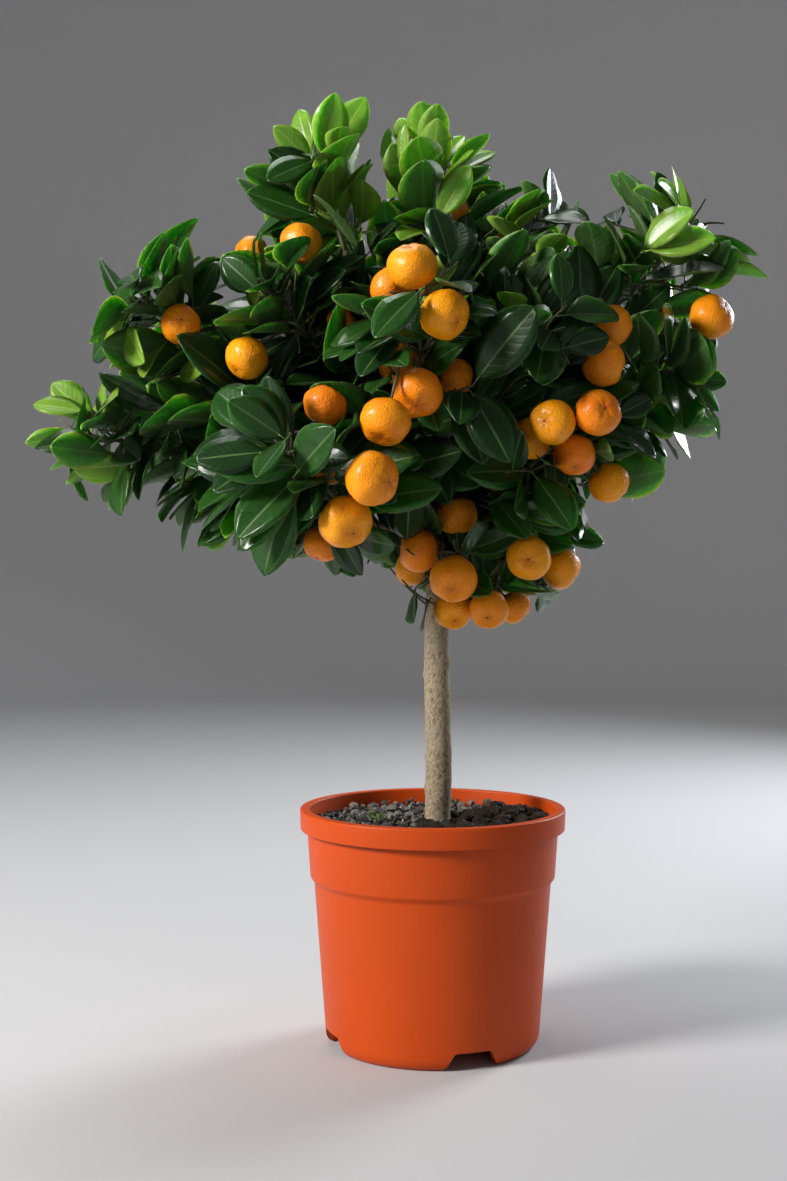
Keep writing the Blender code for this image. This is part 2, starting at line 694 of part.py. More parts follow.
def side_twigs(space, stem, solids, rng):
    """Twigs off a stem at the golden angle, each as long as leaves the room for its leaves."""
    twigs = []
    phase = rng.uniform(0, 2 * math.pi)
    along = (stem.end - stem.start).normalized()
    count = round(space.radii.mean() / TWIG_SPREAD)
    for k in range(count):
        foot = stem.start.lerp(stem.end, FIRST_TWIG + (LAST_TWIG - FIRST_TWIG) * k / (count - 1))
        for turn in TWIG_TURNS:
            azimuth = phase + k * GOLDEN_ANGLE + turn
            side = Matrix.Rotation(azimuth, 3, along) @ along.orthogonal().normalized()
            angle = TWIG_ANGLE + rng.uniform(-TWIG_ANGLE_SPREAD, TWIG_ANGLE_SPREAD)
            way = along * math.cos(angle) + side * math.sin(angle)
            length = min(space.reach(foot, way) - LEAF_ROOM, LONGEST_TWIG)
            if length < SHORTEST_TWIG:
                continue
            end = foot + way * length
            shape = tube_shape([foot + way * FREE_OF_STEM, end], [TWIG_RADIUS, TWIG_TIP_RADIUS])
            if space.holds(shape[0], GAP) and not solids.hit_by(shape):
                twigs.append(Twig(foot, end, TWIG_RADIUS, TWIG_TIP_RADIUS))
                break
    return twigs


def grow_leaves(space, solids, twig, first, most, rng):
    """Leaves along a twig from its tip down: close together at the tip and further apart below it."""
    leaves = []
    way = (twig.end - twig.start).normalized()
    length = (twig.end - twig.start).length
    turn = rng.uniform(0, 2 * math.pi)
    for n in range(most):
        down = first + LEAF_STEP * n ** STEP_POWER
        if down > length - FREE_OF_STEM:
            break
        angle = min(LEAF_ANGLE + LEAF_SPLAY * n, STEEPEST_LEAF)
        size = rng.uniform(*LEAF_LENGTH)
        leaf = find_leaf(space, solids, twig.end - way * down, way, turn + n * GOLDEN_ANGLE, angle, size)
        if leaf:
            leaves.append(leaf)
            solids[1].add(leaf_shape(leaf))
    return leaves


def grow_mass(index, stem, stalks, solids):
    """(twigs, leaves) of a mass. Its first twig is the stem, and its next ones are its fruit's stalks."""
    mass = MASSES[index]
    rng = random.Random(mass.seed)
    space, own = Space(index), Solids()
    sides = side_twigs(space, stem, solids, rng)
    own.add(*[twig_shape(twig, FREE_OF_STEM) for twig in sides])
    leaves = grow_leaves(space, (solids, own), stem, ROOT_SINK, STEM_LEAVES, rng)
    for twig in sides:
        leaves += grow_leaves(space, (solids, own), twig, ROOT_SINK, TWIG_LEAVES, rng)
    for twig in stalks:
        leaves += grow_leaves(space, (solids, own), twig, STALK_BARE, STALK_LEAVES, rng)
    return [stem, *stalks, *sides], leaves


def twig_object(twig, collection):
    """A straight three-sided twig."""
    way = twig.end - twig.start
    bm = bmesh.new()
    bmesh.ops.create_cone(
        bm, cap_ends=True, segments=3, depth=way.length,
        radius1=twig.thick * TRIANGLE_SIZE, radius2=twig.thin * TRIANGLE_SIZE,
    )
    frame = Matrix.Translation((twig.start + twig.end) / 2) @ way.to_track_quat("Z", "Y").to_matrix().to_4x4()
    bmesh.ops.transform(bm, matrix=frame, verts=bm.verts)
    return add_bmesh("twig", bm, collection)


def leaf_object(leaf, collection):
    """A leaf of eight faces, the hull of its six corners."""
    bm = bmesh.new()
    for corner in leaf_corners(leaf.length):
        bm.verts.new(leaf.frame @ corner)
    bmesh.ops.convex_hull(bm, input=bm.verts)
    return add_bmesh("leaf", bm, collection)


def fruit_object(fruit, stalk, collection):
    """A fruit, flattened along the line of its stalk."""
    bm = bmesh.new()
    bmesh.ops.create_uvsphere(
        bm, u_segments=FRUIT_SEGMENTS, v_segments=FRUIT_RINGS, radius=fruit.diameter / 2
    )
    turn = (stalk.end - stalk.start).to_track_quat("Z", "Y").to_matrix().to_4x4()
    frame = Matrix.Translation(fruit.centre) @ turn @ Matrix.Diagonal((1, 1, FRUIT_FLATTENING, 1))
    bmesh.ops.transform(bm, matrix=frame, verts=bm.verts)
    return add_bmesh("fruit", bm, collection)


def largest_body(mesh):
    """Keeps a mesh's largest connected body, so that scrap goes and a sealed hollow is filled."""
    bm = bmesh.new()
    bm.from_mesh(mesh)
    bodies, seen = [], set()
    for seed in bm.verts:
        if seed in seen:
            continue
        body, edge = {seed}, [seed]
        while edge:
            for link in edge.pop().link_edges:
                for vertex in link.verts:
                    if vertex not in body:
                        body.add(vertex)
                        edge.append(vertex)
        seen |= body
        bodies.append(body)
    keep = max(bodies, key=len)
    bmesh.ops.delete(bm, geom=[v for v in bm.verts if v not in keep], context="VERTS")
    bm.to_mesh(mesh)
    bm.free()
    return [len(body) for body in bodies if body is not keep]


def make_mass(mass, twigs, leaves, collection, material):
    """One mass as a single solid: its stem joined by a Boolean union with its twigs, leaves and fruit."""
    joined = bpy.data.collections.new(f"{mass.name}_pieces")
    stem = twig_object(twigs[0], collection)
    stem.name = stem.data.name = f"{mass.name}_foliage"
    stem.data.materials.append(material)
    for twig in twigs[1:]:
        twig_object(twig, joined)
    for leaf in leaves:
        leaf_object(leaf, joined)
    for fruit, stalk in zip(fruit_of(mass), twigs[1:]):
        fruit_object(fruit, stalk, joined)
    union = stem.modifiers.new("join", "BOOLEAN")
    union.operation = "UNION"
    union.operand_type = "COLLECTION"
    union.collection = joined
    union.solver = "MANIFOLD"
    mesh = evaluated_mesh(stem)
    stem.modifiers.clear()
    stem.data = mesh
    dropped = largest_body(mesh)
    if dropped:
        print(mass.name, "dropped loose bodies of", dropped, "corners")
    for piece in list(joined.objects):
        bpy.data.objects.remove(piece)
    bpy.data.collections.remove(joined)


def make_foliage(limbs, collection, material):
    """Every mass, each grown clear of all the limbs, stems, fruit and stalks of the tree."""
    solids = Solids()
    solids.add(*[tube_shape(limb.points, [r + CLEARANCE for r in limb.radii]) for limb in limbs.values()])
    solids.add(*[fruit_shape(fruit) for mass in MASSES for fruit in fruit_of(mass)])
    stems = [stem_of(i, limbs) for i in range(len(MASSES))]
    stem_shapes = [twig_shape(stem, 0) for stem in stems]
    stalks = []
    for i, mass in enumerate(MASSES):
        others = Solids(solids.vertices, solids.faces)
        others.add(*stem_shapes[:i], *stem_shapes[i + 1:])
        stalks.append([stalk_of(stems[i], fruit, others) for fruit in fruit_of(mass)])
        if stalks[-1]:
            solids.add(*[twig_shape(stalk, FREE_OF_STEM) for stalk in stalks[-1]])
    solids.add(*stem_shapes)
    total = 0
    for i, mass in enumerate(MASSES):
        twigs, leaves = grow_mass(i, stems[i], stalks[i], solids)
        make_mass(mass, twigs, leaves, collection, material)
        total += len(leaves)
        print(mass.name, len(twigs), "twigs", len(leaves), "leaves")
    print("leaves in all", total)


def main():
    clear_scene()
    tree = new_collection("calamondin_tree")
    cutters = new_collection("cutters", hidden=True)
    materials = {name: make_material(name) for name in COLOURS}
    make_pot(tree, cutters, materials["pot_plastic"])
    make_soil(tree, materials["soil"])
    make_dressing(tree, materials["top_dressing"])
    limbs = grow_limbs()
    limb_object("trunk", limbs["trunk"], 3, tree, materials["bark"])
    for mass in MASSES:
        limb_object(f"{mass.name}_bough", limbs[mass.name], 1, tree, materials["bark"])
    make_foliage(limbs, tree, materials["foliage"])


if __name__ == "__main__":
    main()
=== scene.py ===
"""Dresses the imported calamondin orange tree: leaves, twigs, fruit, bark, pot, gravel, studio and camera.

Metres, +Z up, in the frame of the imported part. The crown grows by the rule of the part's own source: each
mass of foliage has a stem, side twigs by a seeded rule and leaves that keep to the mass's own space. Here
the rule goes on to finer twigs, short spurs inside the crown, and more leaves.
"""

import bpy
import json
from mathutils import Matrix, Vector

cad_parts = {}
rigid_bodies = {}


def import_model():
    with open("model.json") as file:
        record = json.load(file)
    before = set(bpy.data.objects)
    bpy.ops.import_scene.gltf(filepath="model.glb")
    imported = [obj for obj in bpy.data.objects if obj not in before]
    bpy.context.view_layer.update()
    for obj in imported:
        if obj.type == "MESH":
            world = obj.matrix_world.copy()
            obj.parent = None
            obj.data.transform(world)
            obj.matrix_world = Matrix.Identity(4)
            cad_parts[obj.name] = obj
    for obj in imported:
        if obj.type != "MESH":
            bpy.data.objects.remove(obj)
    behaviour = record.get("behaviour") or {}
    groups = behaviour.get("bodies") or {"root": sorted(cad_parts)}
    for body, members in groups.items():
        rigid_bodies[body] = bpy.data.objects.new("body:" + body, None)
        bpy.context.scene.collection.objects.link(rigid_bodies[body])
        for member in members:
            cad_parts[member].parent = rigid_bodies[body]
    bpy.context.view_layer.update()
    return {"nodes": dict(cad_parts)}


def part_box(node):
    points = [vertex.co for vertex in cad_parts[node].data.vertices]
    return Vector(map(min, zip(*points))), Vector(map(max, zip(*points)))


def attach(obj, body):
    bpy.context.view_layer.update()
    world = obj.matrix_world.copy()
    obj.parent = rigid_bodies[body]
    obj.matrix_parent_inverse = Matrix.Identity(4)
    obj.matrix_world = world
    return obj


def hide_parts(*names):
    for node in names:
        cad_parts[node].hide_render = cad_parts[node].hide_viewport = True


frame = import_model()

import json
import math
import random
from functools import lru_cache
from typing import NamedTuple

import bmesh
import bpy
import numpy as np
from bpy.props import FloatProperty, FloatVectorProperty, IntProperty, PointerProperty
from mathutils import Matrix, Vector, noise
from mathutils.bvhtree import BVHTree

bl_info = {
    "name": "Calamondin orange tree",
    "version": (1, 0, 0),
    "blender": (4, 5, 0),
    "location": "View3D > Sidebar > Calamondin",
    "description": "Adds the visible pieces of a potted calamondin orange tree to its packed frame",
    "category": "Add Mesh",
}

GAP = 0.0003
UP = Vector((0, 0, 1))
GOLDEN_ANGLE = math.radians(137.5)
DRESSING_SEED, TWIG_SEED, LEAF_SEED, FRUIT_SEED, SPUR_SEED, FINE_SEED_STEP = 5, 9, 12, 21, 77, 1000

# The pot's profile, as in the part's source
RIM_RADIUS, RIM_INNER_RADIUS, NECK_RADIUS, STEP_RADIUS = 0.095, 0.088, 0.090, 0.0876
RIM_DROP, LIP_WALL, WALL = 0.0145, 0.0016, 0.0018
STEP_Z, BODY_TOP_Z, BODY_TOP_RADIUS, BODY_FOOT_RADIUS = 0.1195, 0.1160, 0.0848, 0.0769
FOOT_BEND_Z, FOOT_RADIUS, FOOT_INNER_RADIUS = 0.010, 0.0702, 0.0668
FLOOR_Z, PAD_RADIUS, PAD_SLOPE, PAD_WALL, DRAFT = 0.0140, 0.0200, 0.0080, 0.0010, 0.0004
NOTCHES, FIRST_NOTCH_ANGLE = 4, math.radians(-70)
NOTCH_FOOT_HALF, NOTCH_TOP_HALF, NOTCH_HEIGHT, NOTCH_DEPTH = 0.0215, 0.0115, 0.0125, 0.030
NOTCH_STEPS, NOTCH_OVERLAP = 14, 0.010
CORNER_STEPS, CORNER_REACH, FOOT_BEND_STEPS = 4, 0.45, 8
WALL_RINGS = (0.8, 0.6, 0.4, 0.2, 0.08)  # shares of the body's height
SHARP_EDGE = math.radians(38)

# The soil and what lies on it
SOIL_Z = 0.1500
DRESSING_MEAN, DRESSING_LUMP = 0.0085, 0.0035
COARSE_LUMPS, FINE_LUMPS, FINE_SHARE = (210, 260), (430, -370), 0.6
HEAP_HEIGHT, HEAP_CENTRE, HEAP_RADIUS = 0.0050, Vector((0.048, -0.004)), 0.034
HEAP_SPREAD, HEAP_STRAY = 1.22, 0.35  # the compost round the heap, and how ragged its edge is
STRIP_FROM, STRIP_TO, STRIP_FRONT = -0.010, 0.078, -0.006
BED_INNER, BED_RINGS, BED_AROUND, BED_DROP, BED_GAP = 0.0136, 34, 120, 0.0022, 0.0006
BED_ROUGHNESS = ((0.0011, 300, 7), (0.0007, 900, 1))  # height, grain and layer of its noise
CHIP_POINTS, MOSTLY_SMALL = 13, 1.7
CHIP_WIDTHS, CHIP_HEIGHTS, CHIP_RISE = (0.62, 0.95), (0.5, 0.8), (-0.2, 0.5)
CLOD_RADII, CLOD_SPACING = (0.0034, 0.0088), 0.62
CLOD_WIDTHS, CLOD_HEIGHTS, CLOD_RISE = (0.7, 1.0), (0.55, 0.85), (-0.2, 0.15)
CRUMB_RISE = (-0.0004, 0.0022)
CRUMBS, CRUMB_RADII, WHITE_CRUMBS = 600, (0.0006, 0.0013), 0.035
STONE_SPACING, FREE_OF_TRUNK = 0.80, 0.8
SPRIGS, MOSS_CENTRE, MOSS_SPREAD, SPRIG_LENGTHS = 120, (-0.040, 0.000), (0.0065, 0.009), (0.0022, 0.0042)

# The trunk and the boughs
TRUNK_X, TRUNK_LEAN, TRUNK_TOP_Z = 0.0033, 0.0010, 0.4500
TRUNK_RADIUS, TRUNK_NECK_RADIUS, TRUNK_NECK_Z, TRUNK_TOP_RADIUS = 0.0094, 0.0088, 0.330, 0.0058
YOUNG_FROM, YOUNG_TO = 0.325, 0.385  # the height over which the bark turns to young wood
FLARE, FLARE_HEIGHT, TRUNK_RINGS, RING_POWER = 0.0014, 0.012, 14, 1.3
TRUNK_BEND, TRUNK_WAVE, BEND_START, SIDE_BEND = 0.0009, 38, 0.03, 0.6
HEART = Vector((0.0, 0.0, 0.420))
TIP_RADIUS, PIPE_EXPONENT, FOOT_SWELL, THICKEST_FOOT = 0.0019, 0.5, 1.15, 0.8
BOUGH_STUB, BOUGH_RINGS, TIP_SHARE, LIFT = 0.0016, 4, 0.70, 0.20
BOUGH_RISE, FIRST_HANDLE, LAST_HANDLE = 0.35, 0.30, 0.35

# The twigs of the part's source
STEM_SHARE, STEM_TIP_RADIUS, SHORTEST_STEM = 0.98, 0.0010, 0.020
TWIG_RADIUS, TWIG_TIP_RADIUS, TWIG_SPREAD = 0.0012, 0.0009, 0.018
FIRST_TWIG, LAST_TWIG = 0.06, 0.90
TWIG_ANGLE, TWIG_ANGLE_SPREAD = math.radians(58), 0.15
TWIG_TURNS = (0, 0.5, -0.5, 1.0, -1.0, 1.6, -1.6)
SHORTEST_TWIG, LONGEST_TWIG, LEAF_ROOM = 0.007, 0.045, 0.041
FREE_OF_STEM, CLEARANCE = 0.004, 0.0006
FARTHEST, REACH_STEP = 0.08, 0.002
STALK_SINK, STALK_FEET = 0.0030, 9
OPEN_ROOM, OPEN_FROM = 0.034, 0.12  # the room before each fruit, and where behind the trunk it looks from

# The finer twigs, and the leaves on all of them
FINE_RADIUS, FINE_TIP_RADIUS = 0.0009, 0.0006
FINE_ANGLE = math.radians(48)
SHORTEST_FINE, FINE_ROOM = 0.004, 0.020
STEM_FINE, TWIG_FINE = 12, 3  # finer twigs on a stem and on a side twig
FIRST_FINE, FINE_SPAN = 0.12, 0.83
SPUR_STEP, SPUR_LENGTHS, SPUR_LEAVES, SPUR_HANG, CROWN_SWELL = 0.0045, (0.012, 0.058), 6, 0.10, 0.60
TRUNK_SPURS, BOUGH_SPURS = (0.50, 0.99), (0.12, 0.95)  # shares of a limb's length
SHOULDER, SHOULDER_WIDTH, WAIST, WAIST_WIDTH = 0.30, 0.86, 0.70, 0.84
FREE_FROM = 0.16
LEAF_ANGLE, LEAF_SPLAY, STEEPEST_LEAF = math.radians(50), math.radians(9), math.radians(105)
LEAF_STEP, STEP_POWER, ROOT_SINK = 0.0047, 1.25, 0.0015
FACE_UP, FACE_OUT, FACE_STRAY = 0.4, 0.9, 0.50
LIGHT, LIT_DEPTH = Vector((-0.45, -0.85, 0.25)), 0.16  # where the light came from, and how deep it reached
LEAF_TURNS = (0, 0.5, -0.5, 1.0, -1.0, 1.6, -1.6, 2.3, -2.3, 3.1)
LEAF_LEANS = (1, 0.72, 1.3)
LEAF_SIZES = (1, 0.86, 0.74)
CROWDED_SIZES, MUCH_FRUIT = (1, 0.86, 0.72), 4  # in a mass with much fruit, and on the spurs
EDGE_MARGIN = (-0.0015, 0.013)  # how far a twig's leaves stay off the edge of their space
OLD_SHARE, YOUNG_TIP, YOUNG_TIP_SIZE = 0.45, 3, 0.85
LEAF_FOLD, LEAF_WIDTHS, LEAF_SAGS, HANG_SPREAD = (0.06, 0.30), (0.86, 1.12), (0.2, 1.9), (0.5, 1.3)
ANGLE_STRAY, UPRIGHT = (-0.30, 0.25), 0.25
STEM_LEAVES, SIDE_LEAVES, FINE_LEAVES, STALK_LEAVES = 10, 7, 4, 2
STALK_BARE = 0.008
MISSING = 0.10  # the share of leaves that have dropped

# A leaf's outline: how far along, and the share of its full half width there
OUTLINE = (
    (0.00, 0.06), (0.07, 0.30), (0.18, 0.62), (0.32, 0.88), (0.47, 1.00),
    (0.62, 0.98), (0.76, 0.82), (0.87, 0.56), (0.95, 0.28),
)
ACROSS = (-1, -0.54, -0.05, 0.05, 0.54, 1)
BELOW = (-0.5, 0, 0.5)
PETIOLE = 0.006
LONGEST_WAVE, WAVES, CUPPING, SAG_POWER = 0.10, 1.6, 0.16, 2.2
KEEL, BELOW_DEPTH, KEEL_FADE = 0.0009, 0.00035, 1.1
PETIOLE_RADII, PETIOLE_SIDES = (0.00075, 0.00060), 4


class Mass(NamedTuple):
    """A mass of foliage: the ellipsoid that it fills, the limb that its bough leaves, and its fruit."""

    name: str
    centre: tuple
    radii: tuple
    limb: str
    at: float
    seed: int
    young: float  # the share of its sprays that are young and yellow-green
    hang: float  # how far its leaves hang down, or below 0 how far they stand up
    fruit: tuple = ()


MASSES = (
    Mass("left_upper", (-0.190, -0.016, 0.513), (0.060, 0.066, 0.066), "trunk", 0.75, 231, 0.10, 0.15,
         ((-0.174, -0.045, 0.507, 0.0275),)),
    Mass("right_top", (0.166, 0.000, 0.563), (0.068, 0.066, 0.062), "trunk", 0.80, 17, 0.40, -0.45,
         ((0.112, 0.030, 0.544, 0.024),)),
    Mass("top_left", (-0.077, 0.000, 0.608), (0.058, 0.058, 0.066), "trunk", 0.88, 22, 0.45, -0.45),
    Mass("top_centre", (-0.002, 0.000, 0.612), (0.050, 0.058, 0.058), "trunk", 1.00, 61, 0.85, -0.6,
         ((0.013, 0.020, 0.596, 0.028),)),
    Mass("front_left", (-0.086, -0.118, 0.405), (0.076, 0.068, 0.062), "trunk", 0.69, 245, 0.04, 0.35,
         ((-0.041, -0.170, 0.396, 0.034), (-0.058, -0.145, 0.370, 0.034), (-0.072, -0.120, 0.445, 0.028),
          (-0.071, -0.090, 0.407, 0.025), (-0.075, -0.100, 0.356, 0.025))),
    Mass("front_right", (0.061, -0.078, 0.485), (0.062, 0.066, 0.064), "trunk", 0.76, 34, 0.05, 0.0,
         ((0.062, -0.020, 0.513, 0.025), (0.112, -0.080, 0.476, 0.031))),
    Mass("back_centre", (-0.003, 0.130, 0.493), (0.088, 0.082, 0.082), "trunk", 0.73, 198, 0.08, 0.1,
         ((-0.030, 0.185, 0.455, 0.031), (0.030, 0.195, 0.500, 0.030))),
    Mass("front_centre", (-0.012, -0.110, 0.499), (0.060, 0.066, 0.070), "trunk", 0.85, 94, 0.04, 0.0,
         ((-0.016, -0.130, 0.532, 0.032), (0.004, -0.140, 0.500, 0.032), (-0.029, -0.090, 0.524, 0.029),
          (-0.025, -0.080, 0.476, 0.029), (-0.013, -0.130, 0.452, 0.033), (-0.033, -0.155, 0.432, 0.032),
          (0.014, -0.080, 0.467, 0.025))),
    Mass("low_front", (0.015, -0.048, 0.345), (0.044, 0.052, 0.056), "trunk", 0.52, 206, 0.05, 0.1,
         ((0.015, -0.050, 0.376, 0.029), (-0.011, -0.055, 0.352, 0.030), (-0.015, -0.020, 0.340, 0.026),
          (0.012, -0.080, 0.333, 0.032), (0.013, -0.045, 0.311, 0.0275))),
    Mass("low_right", (0.063, -0.032, 0.348), (0.050, 0.055, 0.054), "trunk", 0.56, 36, 0.10, 0.1,
         ((0.037, -0.060, 0.312, 0.027), (0.063, -0.070, 0.347, 0.030), (0.088, -0.040, 0.339, 0.029),
          (0.057, -0.020, 0.312, 0.024))),
    Mass("back_low", (0.038, 0.082, 0.389), (0.078, 0.070, 0.066), "trunk", 0.60, 109, 0.05, 0.2,
         ((0.060, 0.110, 0.365, 0.030), (0.010, 0.115, 0.385, 0.029))),
    Mass("left_tip", (-0.231, -0.016, 0.431), (0.060, 0.060, 0.047), "left_upper", 0.60, 179, 0.40, 0.5),
    Mass("left_under", (-0.152, -0.006, 0.406), (0.068, 0.066, 0.054), "left_upper", 0.18, 127, 0.12, 0.6),
    Mass("upper_left", (-0.098, -0.036, 0.514), (0.068, 0.068, 0.064), "top_left", 0.35, 4, 0.05, 0.1,
         ((-0.092, -0.030, 0.565, 0.030), (-0.127, -0.060, 0.482, 0.030), (-0.064, -0.035, 0.509, 0.022))),
    Mass("back_upper_left", (-0.088, 0.098, 0.562), (0.062, 0.068, 0.066), "top_left", 0.50, 158, 0.15, 0.0,
         ((-0.135, 0.070, 0.575, 0.028), (-0.110, 0.145, 0.545, 0.030))),
    Mass("back_left", (-0.165, 0.102, 0.469), (0.088, 0.076, 0.078), "left_upper", 0.50, 191, 0.10, 0.3,
         ((-0.195, 0.150, 0.440, 0.031),)),
    Mass("back_top", (-0.002, 0.088, 0.586), (0.066, 0.064, 0.066), "top_centre", 0.40, 124, 0.35, -0.4),
    Mass("top_right", (0.067, 0.000, 0.575), (0.052, 0.058, 0.060), "top_centre", 0.15, 103, 0.25, -0.4,
         ((0.053, 0.020, 0.572, 0.026),)),
    Mass("right_side", (0.156, 0.000, 0.482), (0.058, 0.070, 0.070), "right_top", 0.30, 135, 0.10, 0.1,
         ((0.119, -0.060, 0.504, 0.0285), (0.193, -0.030, 0.514, 0.032))),
    Mass("back_right", (0.120, 0.108, 0.510), (0.088, 0.078, 0.082), "right_top", 0.18, 13, 0.12, 0.1,
         ((0.150, 0.155, 0.480, 0.031), (0.100, 0.150, 0.540, 0.030))),
    Mass("right_low", (0.088, -0.074, 0.429), (0.058, 0.062, 0.058), "front_right", 0.30, 172, 0.08, 0.0,
         ((0.075, -0.110, 0.435, 0.030), (0.104, -0.110, 0.441, 0.030), (0.064, -0.080, 0.427, 0.028),
          (0.091, -0.090, 0.415, 0.028), (0.118, -0.060, 0.398, 0.0285))),
)
CENTRES = np.array([mass.centre for mass in MASSES])
RADII = np.array([mass.radii for mass in MASSES])
WEIGHTS = RADII.mean(axis=1) ** 2


class Limb(NamedTuple):
    """A tapering limb along its centreline."""

    points: list
    radii: list


class Twig(NamedTuple):
    """A twig between two points, its radius at each end, and whether it is young."""

    start: Vector
    end: Vector
    thick: float
    thin: float
    young: bool = False


class Fruit(NamedTuple):
    """A fruit, and the way that its stalk comes to it."""

    centre: Vector
    diameter: float
    way: Vector = UP


class Leaf(NamedTuple):
    """A leaf by its frame and form. X runs along it from its root, Y across it and Z off its upper face."""

    frame: Matrix
    length: float
    width: float
    sag: float
    fold: float
    tint: int = 0


class Habit(NamedTuple):
    """How leaves grow: how far they hang, the shares of full size that are tried, and the user's sizes."""

    hang: float
    shares: tuple
    sizes: bpy.types.PropertyGroup


class Crown(NamedTuple):
    """Everything that grows on the limbs."""

    stems: list
    twigs: list
    stalks: list
    fruit: list
    leaves: list


# Sizes and colours that a user may change


class PotSizes(bpy.types.PropertyGroup):
    """The sizes of the pot."""

    height: FloatProperty(
        name="Height", description="From the floor to the rim", default=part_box("pot")[1][2], unit="LENGTH"
    )
    rim_bevel: FloatProperty(
        name="Rim rounding", description="Radius of the rim's edges", default=0.0015, unit="LENGTH"
    )
    steps: IntProperty(name="Steps", description="Flat faces round the pot", default=144, min=32)


class BarkSizes(bpy.types.PropertyGroup):
    """The relief of the bark."""

    fissure: FloatProperty(
        name="Fissures", description="Depth of the fine fissures", default=0.00028, unit="LENGTH"
    )
    lump: FloatProperty(
        name="Lumps", description="Height of the broad lumps", default=0.00055, unit="LENGTH"
    )
    pitch: FloatProperty(
        name="Grid", description="Distance between the mesh's points", default=0.0010, unit="LENGTH"
    )


class CrownSizes(bpy.types.PropertyGroup):
    """The sizes of the leaves and the finer twigs."""

    shortest_leaf: FloatProperty(
        name="Shortest leaf", description="From its root to its tip", default=0.048, unit="LENGTH"
    )
    longest_leaf: FloatProperty(
        name="Longest leaf", description="From its root to its tip", default=0.077, unit="LENGTH"
    )
    leaf_width: FloatProperty(
        name="Leaf width", description="Mean width over length", default=0.58, subtype="FACTOR"
    )
    sag: FloatProperty(
        name="Leaf bend", description="How far a leaf's tip bends down, of its length", default=0.075
    )
    fine_twig: FloatProperty(
        name="Fine twig", description="Length of the longest of the finer twigs", default=0.034, unit="LENGTH"
    )
    growth: FloatProperty(
        name="Fullness", description="How far the masses fill the crown's inside", default=0.55,
        subtype="FACTOR",
    )


class DressingSizes(bpy.types.PropertyGroup):
    """The gravel and the compost on the soil."""

    stones: IntProperty(name="Stones", description="Tries at placing a stone", default=2600)
    small_stone: FloatProperty(
        name="Small stone", description="Least radius of a stone", default=0.0023, unit="LENGTH"
    )
    large_stone: FloatProperty(
        name="Large stone", description="Greatest radius of a stone", default=0.0058, unit="LENGTH"
    )
    clods: IntProperty(name="Clods", description="Tries at placing a clod of compost", default=900)


def colour_property(name, text, default):
    return FloatVectorProperty(
        name=name, description=text, subtype="COLOR", size=3, min=0, max=1, default=default
    )


class Colours(bpy.types.PropertyGroup):
    """The colours of the finishes."""

    pot: colour_property("Pot", "Moulded plastic", (0.54, 0.062, 0.0035))
    bark: colour_property("Bark", "Trunk and boughs", (0.30, 0.235, 0.150))
    twig: colour_property("Twigs", "Young wood", (0.055, 0.088, 0.024))
    leaf_deep: colour_property("Old leaves", "The upper face of the darkest leaves", (0.0075, 0.0300, 0.0050))
    leaf_mid: colour_property("Leaves", "The upper face of most leaves", (0.0130, 0.0540, 0.0065))
    leaf_young: colour_property("Young leaves", "The upper face of young leaves", (0.140, 0.260, 0.024))
    underside: colour_property("Leaf undersides", "The lower face of the leaves", (0.048, 0.108, 0.024))
    fruit: colour_property("Fruit", "Ripe peel", (0.92, 0.310, 0.002))
    gravel: colour_property("Gravel", "Crushed stone", (0.135, 0.119, 0.100))
    compost: colour_property("Compost", "Damp clods", (0.018, 0.0118, 0.0072))
    floor: colour_property("Floor", "Studio floor", (0.50, 0.50, 0.510))


# Shader maths as Python expressions


def both_sides(operation):
    """The two methods of an operator, for a wire before its sign and for one after it."""

    def before(self, other):
        return self.finish.maths(operation, self, other)

    def after(self, other):
        return self.finish.maths(operation, other, self)

    return before, after


class Wire:
    """An output socket in a finish. Sums and products of wires add the Math nodes that they stand for."""

    def __init__(self, finish, socket):
        self.finish = finish
        self.socket = socket

    __add__, __radd__ = both_sides("ADD")
    __sub__, __rsub__ = both_sides("SUBTRACT")
    __mul__, __rmul__ = both_sides("MULTIPLY")
    __truediv__, __rtruediv__ = both_sides("DIVIDE")

    def __abs__(self):
        return self.finish.maths("ABSOLUTE", self)

    def clamped(self):
        return self.finish.maths("ADD", self, 0, clamp=True)

    def above(self, low, high):
        """0 up to low, 1 from high, and a straight rise between them."""
        return ((self - low) / (high - low)).clamped()


